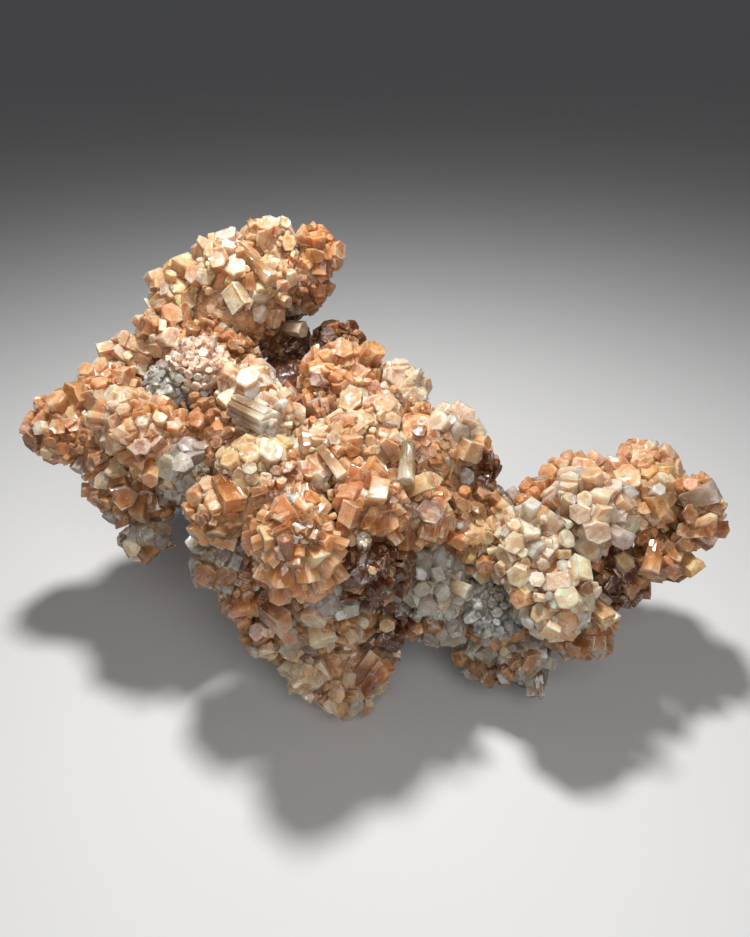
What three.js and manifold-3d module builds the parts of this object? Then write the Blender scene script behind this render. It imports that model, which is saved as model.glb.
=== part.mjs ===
// A cluster of aragonite, modelled as the one solid that it grew as: a branching trunk, sprays of six-sided prisms
// that radiate from centres on the trunk, and the larger prisms that stand out of them. The cluster rests on the
// flat ends of the prisms at its feet. Millimetres, +Z up, +X along the longest side, origin under the middle.
import * as THREE from "three";
import { mergeVertices } from "three/addons/utils/BufferGeometryUtils.js";
import Module from "manifold-3d";

const wasm = await Module();
wasm.setup();

// ---- Driving dimensions ------------------------------------------------------------------------------------------

const FOOTPRINT_MIDDLE = [-2, 7]; // middle of the footprint, in the frame that the lists below are given in
const TRUNK_DETAIL = 0; // times that the faces of a trunk lump are divided
const CORE_SHARE = 0.8; // corner radius of a spray's faceted core, as a share of its reach
const CORE_SINK = 0.8; // a spray whose centre lies inside this share of a lump's radius needs no core
const PRISM_WIDTH = 7.4; // usual distance between opposite corners of a prism
const WIDTH_SPREAD = 0.14; // share by which that width varies either way
const REACH_SPREAD = 0.05; // share by which a prism ends short of its spray's reach or past it
const DIRECTIONS_PER_SPRAY = 14; // directions tried for prisms, spread over the whole ball of a spray
const END_SPACING = 12; // least distance between the ends of two usual prisms
const STANDING_WIDTH = 6; // distance between opposite corners of a prism that the cluster stands on
const LEAST_HEIGHT = 1; // no other prism or core comes lower than this

// Lumps of the trunk: centre and radius.
const TRUNK = {
  body: [[-8, -5, 38], 18],
  body_back: [[-8, 14, 36], 18],
  front_foot: [[-8, -18, 22], 11],
  front_toe: [[-6, -23, 12], 9],
  brow: [[-16, -20, 46], 10],
  brow_east: [[9, -6, 47], 10],
  back_top: [[-9, 30, 46], 9],
  left_neck: [[-30, -2, 46], 11],
  left_lobe: [[-46, 2, 44], 11],
  left_drop_root: [[-45, -6, 38], 8],
  left_end: [[-57, 5, 46], 8],
  horn_root: [[-36, 16, 54], 11],
  hollow: [[-21, 24, 49], 9],
  horn: [[-31, 30, 62], 11],
  horn_end: [[-19, 40, 66], 9],
  right_neck: [[14, -10, 34], 13],
  right_lobe: [[33, -14, 33], 12],
  right_wing: [[49, -7, 36], 9],
  right_drop: [[25, -19, 16], 9],
  rear_foot: [[-15, 19, 15], 10],
};

// Sprays: centre and reach, which is the distance from the centre to the prisms' ends.
const SPRAYS = {
  left_tip: [[-62, 5, 45], 8.5],
  left_crown: [[-54, 9, 53], 7.5],
  left_shoulder: [[-50, 16, 58], 6.5],
  left_cheek: [[-47, -1, 51], 7],
  left_heart: [[-41, -7, 50], 8],
  left_low: [[-47, -9, 41], 7.5],
  left_root: [[-35, -9, 46], 7.5],
  left_drop: [[-45, -11, 32], 6.5],
  left_hollow: [[-38, -5, 37], 7],
  upper_west: [[-42, 32, 65], 8],
  upper_mid: [[-32, 31, 68], 9],
  upper_brow: [[-26, 28, 66], 8],
  upper_peak: [[-24, 39, 74], 6.5],
  upper_east: [[-13, 41, 71], 7],
  upper_back: [[-17, 45, 60], 8.5],
  upper_low: [[-24, 29, 57], 7],
  ridge_top: [[-43, 19, 60], 7],
  ridge_west: [[-34, 8, 59], 6.5],
  ridge_east: [[-25, 2, 56], 7],
  ridge_end: [[-20, -6, 55], 6],
  back_top: [[-9, 36, 51], 7],
  back_mid: [[-7, 17, 49], 11],
  back_west: [[-17, 20, 45], 8],
  back_east: [[4, 16, 49], 7.5],
  centre_east: [[14, -6, 52], 7.5],
  centre_east_low: [[17, -5, 42], 7.5],
  centre_north: [[-1, -6, 51], 9],
  centre_mid: [[-8, -14, 50], 9],
  centre_west: [[-20, -17, 50], 7.5],
  west_brow: [[-27, -22, 46], 6.5],
  centre_south: [[-1, -25, 48], 8.5],
  centre_south_east: [[7, -21, 46], 7],
  flower: [[-12, -30, 46], 9],
  brow_east: [[-2, -29, 41], 7.5],
  foot_west: [[-28, -22, 36], 6.5],
  foot_north_west: [[-22, -22, 29], 7.5],
  foot_mid: [[-19, -25, 21], 8.5],
  foot_upper: [[-8, -27, 31], 8.5],
  foot_east: [[1, -24, 25], 7.5],
  foot_toe_west: [[-14, -27, 12], 8],
  foot_toe: [[-6, -27, 8], 8],
  foot_heel: [[0, -20, 12], 7.5],
  right_grey: [[9, -23, 32], 8],
  right_grey_low: [[13, -22, 20], 7.5],
  right_matrix: [[22, -21, 23], 7],
  right_low: [[20, -22, 12], 7],
  right_low_west: [[13, -18, 14], 7],
  right_hang: [[28, -24, 12], 7],
  right_west: [[20, -16, 34], 8],
  right_mid: [[28, -22, 36], 8.5],
  right_heart: [[32, -28, 33], 8],
  right_front_low: [[37, -28, 25], 7.5],
  right_crest: [[38, -18, 42], 8],
  right_back: [[41, 0, 38], 7],
  right_back_west: [[37.5, 0, 37], 6],
  right_back_east: [[55, 0, 40], 7.5],
  right_brow: [[50, -10, 39], 8],
  right_tip: [[60, -10, 36], 7.5],
  right_tip_low: [[55, -16, 29], 7.5],
  right_under: [[45, -20, 29], 7.5],
  saddle: [[23, -4, 31], 7],
  rear_left: [[-52, 14, 47], 7.5],
  rear_left_low: [[-46, 8, 37], 7.5],
  rear_left_under: [[-54, 1, 37], 6.5],
  rear_neck: [[-38, 10, 42], 8],
  rear_neck_under: [[-33, -2, 34], 7.5],
  rear_horn_west: [[-38, 38, 60], 7.5],
  rear_horn: [[-29, 43, 66], 8],
  rear_horn_low: [[-34, 33, 53], 8],
  rear_horn_root: [[-42, 24, 51], 8],
  rear_horn_east: [[-21, 36, 52], 7.5],
  rear_west: [[-26, 20, 40], 8.5],
  rear_west_low: [[-27, 8, 33], 8],
  rear_mid: [[-12, 32, 40], 8.5],
  rear_east: [[2, 29, 41], 8],
  rear_far_east: [[11, 12, 36], 8],
  rear_east_low: [[8, 20, 29], 8],
  rear_mid_low: [[-4, 30, 28], 8],
  rear_foot_west: [[-24, 21, 24], 8],
  rear_foot_east: [[-6, 20, 17], 8],
  rear_toe_west: [[-21, 18, 9], 8],
  rear_toe_east: [[-10, 22, 8], 7.5],
  rear_heel: [[-14, 8, 16], 8],
  under_mid: [[-4, 2, 22], 8],
  under_west: [[-17, -4, 27], 8],
  under_east: [[9, -6, 23], 8],
  under_far_east: [[17, 3, 30], 7.5],
  rear_right: [[30, -4, 30], 7.5],
  rear_right_low: [[33, -7, 23], 8],
  rear_right_under: [[42, -11, 24], 7],
  rear_right_wing: [[48, 1, 34], 6.5],
  rear_right_tip: [[57, -4, 33], 6.5],
  rear_right_drop: [[26, -12, 12], 7.5],
};

// Prisms that stand out of their spray: the spray, the direction, the distance from its centre to the end, and the
// width.
const STANDOUTS = [
  ["left_shoulder", [-8, -3, 1], 7.5, 4.8],
  ["left_crown", [-7, -3, -1], 8.5, 5.5],
  ["left_tip", [-4, 1, 7], 8.5, 5.5],
  ["left_tip", [-7, -3, 1], 9, 5],
  ["left_low", [-5, -5, -3], 8.3, 5],
  ["left_drop", [0, -6, -2], 7.5, 5],
  ["upper_west", [-5, -8, -2], 8.5, 5],
  ["upper_mid", [2, 1, 9], 9.3, 6],
  ["upper_peak", [2, -5, 5], 7, 6],
  ["upper_brow", [-3, -8, 3], 9.5, 6.5],
  ["upper_brow", [8, 2, 2], 9.5, 4.8],
  ["upper_low", [9, -5, 3], 10.5, 5],
  ["upper_east", [-4, 0, 5], 7.5, 5],
  ["upper_east", [8, -4, 2], 7.5, 5],
  ["ridge_end", [3, -8, 3], 9, 6],
  ["back_mid", [7, -1, 10], 13, 6],
  ["back_top", [3, -3, 6], 7.5, 5],
  ["west_brow", [4, -6, 5], 9, 5.4],
  ["centre_mid", [3, -10, 4], 11, 5],
  ["centre_east", [3, -4, 7], 8.5, 5],
  ["centre_east", [4, -8, 1], 9, 5.6],
  ["centre_south_east", [-2, -4, 9], 9.5, 4.8],
  ["centre_south_east", [2, -4, 9], 10, 4.8],
  ["centre_south", [-4, -7, 5], 9.5, 5.6],
  ["foot_upper", [-8, -7, -1], 10.5, 5.4],
  ["foot_toe", [7, -4, 11], 13, 5.2],
  ["foot_toe", [9, -6, 9], 13, 4.8],
  ["foot_toe", [8, -5, 0], 10, 5],
  ["right_grey", [-2, -6, 6], 9, 5],
  ["right_west", [4, -5, 7], 9.5, 5.8],
  ["right_mid", [-1, 0, 11], 11, 5],
  ["right_crest", [1, -4, 9], 10, 5.2],
  ["right_crest", [-1, -9, 4], 10, 5.6],
  ["right_heart", [-3, -9, -2], 9.5, 5],
  ["right_front_low", [3, -7, 6], 9.5, 5],
  ["right_front_low", [0, -5, -7], 8.5, 5],
  ["right_tip", [3, -4, 8], 10, 5.6],
  ["right_tip", [5, -7, 4], 9.5, 4.5],
  ["right_tip_low", [6, -8, 3], 9, 5],
  ["right_back_east", [4, -6, 3], 8.5, 5.4],
  ["right_back_east", [7, -3, 3], 8, 5],
];

// Broad flat crystal with one sharp corner up, on the upper west spray.
const TABLET = { spray: "upper_west", toward: [4, -3, 8], reach: 10.5, width: 11, thickness: 7, twist: 40 };

// Prisms that the cluster stands on, straight down to the surface: foot of the axis, and the height of the root.
const STANDING = [
  [[-6, -27], 9],
  [[-11, -24], 9],
  [[33, -21.5], 13],
  [[-20, 19], 9],
  [[-10, 22], 9],
];

// ---- Helpers -----------------------------------------------------------------------------------------------------

const GOLDEN_ANGLE = Math.PI * (3 - Math.sqrt(5));

/** The same number between 0 and 1 for the same two keys, each time. */
function scatter(a, b) {
  const wave = Math.sin(a * 127.1 + b * 311.7) * 43758.5453;
  return wave - Math.floor(wave);
}

/** A number between -1 and 1. */
function sway(a, b) {
  return 2 * scatter(a, b) - 1;
}

/** Direction number i of count, spread evenly over the whole ball and turned by a share of a full turn. */
function ballDirection(i, count, turn) {
  const height = 1 - (2 * (i + 0.5)) / count;
  const around = i * GOLDEN_ANGLE + turn * 2 * Math.PI;
  const flat = Math.sqrt(1 - height * height);
  return new THREE.Vector3(flat * Math.cos(around), flat * Math.sin(around), height);
}

/** Closed geometry to a solid, with its shared corners merged. */
function toSolid(geometry) {
  const bare = geometry.clone();
  bare.deleteAttribute("normal");
  bare.deleteAttribute("uv");
  const merged = mergeVertices(bare.index ? bare.toNonIndexed() : bare, 1e-4);
  return new wasm.Manifold(
    new wasm.Mesh({
      numProp: 3,
      vertProperties: new Float32Array(merged.attributes.position.array),
      triVerts: new Uint32Array(merged.index.array),
    }),
  );
}

/** Label of the connected shell that each corner of a triangle list belongs to. */
function shellLabels(cornerCount, triVerts) {
  const parent = Array.from({ length: cornerCount }, (_, i) => i);
  const find = (i) => {
    let top = i;
    while (parent[top] !== top) top = parent[top];
    parent[i] = top;
    return top;
  };
  for (let i = 0; i < triVerts.length; i += 3) {
    parent[find(triVerts[i + 1])] = find(triVerts[i]);
    parent[find(triVerts[i + 2])] = find(triVerts[i]);
  }
  return parent.map((_, i) => find(i));
}

/** Solid to a geometry that a mesh can show: its outer shell, so that a gap closed inside it is solid stone. */
function toGeometry(solid) {
  const { vertProperties, triVerts } = solid.getMesh();
  const labels = shellLabels(vertProperties.length / 3, triVerts);
  let lowest = 0;
  for (let i = 0; i < labels.length; i += 1) {
    if (vertProperties[3 * i + 2] < vertProperties[3 * lowest + 2]) lowest = i;
  }
  const outer = Array.from(triVerts).filter((corner) => labels[corner] === labels[lowest]);
  const shell = new THREE.BufferGeometry();
  shell.setAttribute("position", new THREE.BufferAttribute(vertProperties, 3));
  shell.setIndex(outer);
  const loose = shell.toNonIndexed();
  loose.computeVertexNormals();
  return loose;
}

/** Faceted ball: a lump of the trunk, or the core of a spray. */
function ball(centre, radius, detail) {
  return new THREE.IcosahedronGeometry(radius, detail).translate(...centre);
}

/** Six-sided prism from root to tip with flat ends. Thickness is its width across, where it is a flat crystal. */
function prism(root, tip, width, twist, thickness = width) {
  const along = new THREE.Vector3().subVectors(tip, root);
  const geometry = new THREE.CylinderGeometry(width / 2, width / 2, along.length(), 6);
  geometry.scale(1, 1, thickness / width);
  geometry.rotateY(twist);
  geometry.applyQuaternion(new THREE.Quaternion().setFromUnitVectors(THREE.Object3D.DEFAULT_UP, along.normalize()));
  const middle = new THREE.Vector3().addVectors(root, tip).multiplyScalar(0.5);
  return geometry.translate(middle.x, middle.y, middle.z);
}

// ---- Growth ------------------------------------------------------------------------------------------------------

/** Whether a point lies inside any of the balls, once their radii are multiplied by share. */
function isBuried(point, balls, share = 1) {
  return balls.some(([centre, radius]) => point.distanceTo(new THREE.Vector3(...centre)) < share * radius);
}

/** The usual prisms of one spray, where they end in the open and clear of the ends that are there already. */
function sprayPrisms(key, [centre, reach], neighbours, ends) {
  const middle = new THREE.Vector3(...centre);
  const prisms = [];
  for (let i = 0; i < DIRECTIONS_PER_SPRAY; i += 1) {
    const length = reach * (1 + REACH_SPREAD * sway(key, i));
    const tip = ballDirection(i, DIRECTIONS_PER_SPRAY, scatter(key, 50)).multiplyScalar(length).add(middle);
    const width = PRISM_WIDTH * (1 + WIDTH_SPREAD * sway(i, key));
    const low = tip.z - width / 2 < LEAST_HEIGHT;
    const crowded = ends.some((end) => tip.distanceTo(end) < END_SPACING);
    if (!low && !crowded && !isBuried(tip, neighbours)) {
      prisms.push(prism(middle, tip, width, sway(key + i, 3) * Math.PI));
      ends.push(tip);
    }
  }
  return prisms;
}

/** Every closed piece of the cluster, in the frame of the lists above. */
function clusterPieces() {
  const lumps = Object.values(TRUNK);
  const sprays = Object.values(SPRAYS);
  const pieces = lumps.map(([centre, radius]) => ball(centre, radius, TRUNK_DETAIL));
  const ends = [];
  STANDOUTS.forEach(([name, toward, distance, width], key) => {
    const middle = new THREE.Vector3(...SPRAYS[name][0]);
    const tip = new THREE.Vector3(...toward).setLength(distance).add(middle);
    pieces.push(prism(middle, tip, width, sway(key, 9) * Math.PI));
    ends.push(tip);
  });
  const tabletRoot = new THREE.Vector3(...SPRAYS[TABLET.spray][0]);
  const tabletTip = new THREE.Vector3(...TABLET.toward).setLength(TABLET.reach).add(tabletRoot);
  const tabletTwist = THREE.MathUtils.degToRad(TABLET.twist);
  pieces.push(prism(tabletRoot, tabletTip, TABLET.width, tabletTwist, TABLET.thickness));
  ends.push(tabletTip);
  for (const [[x, y], height] of STANDING) {
    pieces.push(prism(new THREE.Vector3(x, y, height), new THREE.Vector3(x, y, 0), STANDING_WIDTH, 0));
    ends.push(new THREE.Vector3(x, y, 0));
  }
  sprays.forEach((spray, key) => {
    const [centre, reach] = spray;
    const neighbours = [...lumps, ...sprays.filter((_, other) => other !== key)];
    if (!isBuried(new THREE.Vector3(...centre), lumps, CORE_SINK)) {
      pieces.push(ball(centre, CORE_SHARE * Math.min(reach, centre[2] - LEAST_HEIGHT), 0));
    }
    pieces.push(...sprayPrisms(key, spray, neighbours, ends));
  });
  return pieces;
}

const grown = clusterPieces()
  .map(toSolid)
  .reduce((whole, solid) => whole.add(solid));

const cluster = new THREE.Mesh(
  toGeometry(grown),
  new THREE.MeshStandardMaterial({ color: 0xd79a67, roughness: 0.35, metalness: 0 }),
);
cluster.name = "aragonite_cluster";
cluster.position.set(-FOOTPRINT_MIDDLE[0], -FOOTPRINT_MIDDLE[1], 0);

const part = new THREE.Group();
part.add(cluster);

export default part;
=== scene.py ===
"""A cluster of aragonite: sprays of six-sided prisms with flat, pitted or broken ends, grown on a trunk.

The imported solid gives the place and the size. Thousands of single crystals take its place: each shape is
modelled once, copied along the directions of every spray, and joined with the others into one closed skin a
lobe. Lengths are millimetres in the lists and metres in the meshes.
"""

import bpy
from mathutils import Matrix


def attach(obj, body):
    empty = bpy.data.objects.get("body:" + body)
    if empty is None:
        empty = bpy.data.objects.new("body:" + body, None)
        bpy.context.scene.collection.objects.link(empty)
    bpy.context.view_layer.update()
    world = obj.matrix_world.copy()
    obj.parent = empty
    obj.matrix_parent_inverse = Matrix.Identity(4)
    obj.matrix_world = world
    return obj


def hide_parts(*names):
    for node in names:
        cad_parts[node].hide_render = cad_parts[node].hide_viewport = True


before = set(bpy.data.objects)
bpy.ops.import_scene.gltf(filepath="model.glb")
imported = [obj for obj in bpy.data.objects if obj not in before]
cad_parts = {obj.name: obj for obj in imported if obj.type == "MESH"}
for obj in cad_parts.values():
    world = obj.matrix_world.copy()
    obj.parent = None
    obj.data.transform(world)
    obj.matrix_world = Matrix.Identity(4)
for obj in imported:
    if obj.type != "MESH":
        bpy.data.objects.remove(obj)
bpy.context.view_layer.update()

import logging
import math
from collections.abc import Callable, Iterable, Iterator
from dataclasses import dataclass, field, replace
from enum import Enum, auto
from typing import NamedTuple, TypeVar

import bpy
import numpy as np
from mathutils import Matrix, Vector

Vec = np.ndarray
Pixel = tuple[float, float]
Point = tuple[float, float, float]
Colour = tuple[float, float, float]
Socket = bpy.types.NodeSocket
Option = TypeVar("Option")

log = logging.getLogger("aragonite")

NODE = "aragonite_cluster"
STAND = "standing"  # group of the crystals that the cluster stands on
MM = 0.001  # metres in a millimetre
SEED = 20231
FOOTPRINT_MIDDLE = np.array((-2.0, 7.0, 0.0))  # the part's origin, in the frame of the lists


class Habit(Enum):
    """Shape of a single crystal."""

    FLAT = "flat hexagonal end"
    PITTED = "end sunk to a funnel"
    NOTCHED = "twin seams down the sides"
    STEPPED = "end in two levels"
    SLANTED = "end at a slant"
    CHISEL = "end narrowed to a ridge"
    TABULAR = "four-sided block"
    FLUTED = "bundle of stepped rods"
    WORN = "rounded edges"
    BROKEN = "end broken off in slopes"
    GRAIN = "small plain prism"
    LUMP = "earthy lump"


class Tone(Enum):
    """Colour family of a crystal."""

    ORANGE = auto()
    AMBER = auto()
    PEACH = auto()
    YELLOW = auto()
    CREAM = auto()
    WHITE = auto()
    CLEAR = auto()
    LILAC = auto()
    GREY = auto()
    BROWN = auto()
    UMBER = auto()
    SLATE = auto()
    BRICK = auto()
    ROOT = auto()
    ASH = auto()
    GLOW = auto()
    MIXED = auto()


class Lobe(Enum):
    """Sub-assembly that a spray belongs to."""

    LEFT = "left_lobe"
    HORN = "horn"
    BODY = "body"
    FOOT = "feet"
    RIGHT = "right_lobe"


@dataclass(frozen=True)
class Hue:
    """How one colour family looks.

    Attributes:
        deep: Linear colour in the heart of the crystal.
        rim: Linear colour at its edges and end.
        finish: Name of the material that carries it.
        spread: Share by which brightness varies from crystal to crystal.
    """

    deep: Colour
    rim: Colour
    finish: str
    spread: float


HUES: dict[Tone, Hue] = {
    Tone.ORANGE: Hue((0.83, 0.40, 0.17), (0.93, 0.63, 0.38), "honey", 0.10),
    Tone.AMBER: Hue((0.72, 0.30, 0.11), (0.87, 0.50, 0.26), "honey", 0.10),
    Tone.PEACH: Hue((0.88, 0.51, 0.27), (0.95, 0.73, 0.51), "honey", 0.08),
    Tone.YELLOW: Hue((0.90, 0.57, 0.28), (0.96, 0.77, 0.50), "honey", 0.08),
    Tone.CREAM: Hue((0.86, 0.65, 0.44), (0.93, 0.79, 0.61), "milk", 0.08),
    Tone.WHITE: Hue((0.82, 0.75, 0.65), (0.89, 0.85, 0.78), "milk", 0.05),
    Tone.CLEAR: Hue((0.84, 0.77, 0.66), (0.90, 0.85, 0.76), "clear", 0.08),
    Tone.LILAC: Hue((0.76, 0.50, 0.38), (0.88, 0.69, 0.57), "milk", 0.08),
    Tone.GREY: Hue((0.56, 0.47, 0.38), (0.76, 0.68, 0.58), "clear", 0.12),
    Tone.BROWN: Hue((0.42, 0.19, 0.075), (0.66, 0.39, 0.20), "honey", 0.14),
    # Painted shade: the near-black tone of the sprays and lumps that lie in shade, in the hollows and under
    # the horn and the lobes.
    Tone.UMBER: Hue((0.12, 0.035, 0.01), (0.28, 0.115, 0.045), "honey", 0.14),
    Tone.SLATE: Hue((0.20, 0.195, 0.175), (0.36, 0.35, 0.32), "druse", 0.2),
    Tone.BRICK: Hue((0.38, 0.19, 0.11), (0.68, 0.49, 0.37), "druse", 0.2),
    Tone.ROOT: Hue((0.26, 0.11, 0.045), (0.46, 0.24, 0.11), "druse", 0.1),
    Tone.GLOW: Hue((0.42, 0.19, 0.08), (0.60, 0.34, 0.17), "druse", 0.1),
    Tone.ASH: Hue((0.48, 0.41, 0.33), (0.60, 0.53, 0.44), "druse", 0.1),
}

# What the mass under a spray of that colour looks like, where it isn't Tone.ROOT. GLOW, lighter than ROOT, is
# partly the mass's own colour and partly painted glow of light through the warm and pale crystals over it.
ROOTS: dict[Tone, Tone] = {
    Tone.SLATE: Tone.SLATE,
    Tone.BRICK: Tone.BRICK,
    Tone.ORANGE: Tone.GLOW,
    Tone.PEACH: Tone.GLOW,
    Tone.YELLOW: Tone.GLOW,
    Tone.CREAM: Tone.GLOW,
    Tone.CLEAR: Tone.ASH,
    Tone.GREY: Tone.ASH,
    Tone.UMBER: Tone.UMBER,
}
CRUSTS = (Tone.SLATE, Tone.BRICK)  # tones of the rough crusts between the sprays

# Shares of the tones in a spray that is named after its main one.
MIXES: dict[Tone, dict[Tone, float]] = {
    Tone.ORANGE: {Tone.ORANGE: 8, Tone.AMBER: 2, Tone.PEACH: 2.5},
    Tone.AMBER: {Tone.AMBER: 6, Tone.ORANGE: 3, Tone.BROWN: 2},
    Tone.PEACH: {Tone.PEACH: 6, Tone.ORANGE: 2, Tone.CREAM: 2},
    Tone.YELLOW: {Tone.YELLOW: 6, Tone.CREAM: 2, Tone.PEACH: 2},
    Tone.CREAM: {Tone.CREAM: 7, Tone.PEACH: 2, Tone.WHITE: 1, Tone.CLEAR: 1},
    Tone.CLEAR: {Tone.CLEAR: 6, Tone.WHITE: 1, Tone.GREY: 2, Tone.CREAM: 1},
    Tone.GREY: {Tone.GREY: 6, Tone.CLEAR: 2, Tone.BROWN: 2, Tone.CREAM: 1},
    Tone.BROWN: {Tone.BROWN: 6, Tone.AMBER: 2, Tone.GREY: 1},
    Tone.UMBER: {Tone.UMBER: 7, Tone.BROWN: 2, Tone.AMBER: 0.5},
    Tone.SLATE: {Tone.SLATE: 6, Tone.GREY: 2, Tone.CLEAR: 1},
    Tone.BRICK: {Tone.BRICK: 6, Tone.CREAM: 3, Tone.WHITE: 1},
    Tone.MIXED: {Tone.PEACH: 3, Tone.CREAM: 1, Tone.GREY: 2, Tone.BROWN: 4, Tone.ORANGE: 2},
}

# Shares of the habits among the usual crystals.
HABIT_SHARES: dict[Habit, float] = {
    Habit.FLAT: 5,
    Habit.PITTED: 0.7,
    Habit.NOTCHED: 1.2,
    Habit.STEPPED: 3.5,
    Habit.SLANTED: 3.5,
    Habit.CHISEL: 1.5,
    Habit.TABULAR: 2.5,
    Habit.WORN: 2,
    Habit.BROKEN: 4,
}


@dataclass(frozen=True)
class Group:
    """Crystals that grow from one centre: a spray, or those on a bare lump of the trunk.

    Attributes:
        name: What it is called.
        lobe: Sub-assembly that it belongs to.
        centre: Where its crystals start, in the frame of the lists.
        reach: Distance from there to their ends, or the radius of the lump.
        tone: Its main colour family.
        heart: Where its heart shows in the front view, for a spray that lies open.
        lump: Whether it is a lump of the trunk.
    """

    name: str
    lobe: Lobe
    centre: Vec
    reach: float
    tone: Tone
    heart: Pixel | None
    lump: bool

    @property
    def rough(self) -> bool:
        """Whether it is a crust."""
        return self.tone in CRUSTS


@dataclass(frozen=True)
class Showpiece:
    """A single crystal that is known by its place in the front view.

    Attributes:
        name: What it is called.
        spray: Name of the spray that carries it.
        end: Where the middle of its end shows in the front view.
        width: Its width in millimetres.
        stand: Where its end lies, as a share of the spray's reach.
        tone: Its colour family.
        habit: Its shape, or None for any of the usual ones.
        root: Where its foot shows, for a crystal that leans or lies.
    """

    name: str
    spray: str
    end: Pixel
    width: float
    stand: float
    tone: Tone
    habit: Habit | None
    root: Pixel | None


def lines(table: str) -> Iterator[list[str]]:
    """The words of each line of a table."""
    return (line.split() for line in table.strip().splitlines())


def read_pixel(words: list[str]) -> Pixel | None:
    """A place in the front view, where two words give one."""
    return (float(words[0]), float(words[1])) if words else None


def read_groups(table: str, lump: bool = False) -> dict[str, Group]:
    """Reads the sprays or the lumps.

    Args:
        table: A line each, of its name, lobe, centre, reach and tone, and its heart where that lies open.
        lump: Whether they are lumps of the trunk.

    Returns:
        The groups by name, in the order of the lines.
    """
    groups = {}
    for name, lobe, x, y, z, reach, tone, *heart in lines(table):
        centre = np.array((float(x), float(y), float(z)))
        group = Group(name, Lobe[lobe], centre, float(reach), Tone[tone], read_pixel(heart), lump)
        groups[name] = group
    return groups


def read_showpieces(table: str) -> list[Showpiece]:
    """Reads the single crystals.

    Args:
        table: A line each, of name, spray, end, width, stand, tone and habit, and the root where that shows.

    Returns:
        The crystals in the order of the lines.
    """
    pieces = []
    for name, spray, across, down, width, stand, tone, habit, *root in lines(table):
        shape = None if habit == "ANY" else Habit[habit]
        end = read_pixel([across, down])
        piece = Showpiece(name, spray, end, float(width), float(stand), Tone[tone], shape, read_pixel(root))
        pieces.append(piece)
    return pieces


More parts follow.
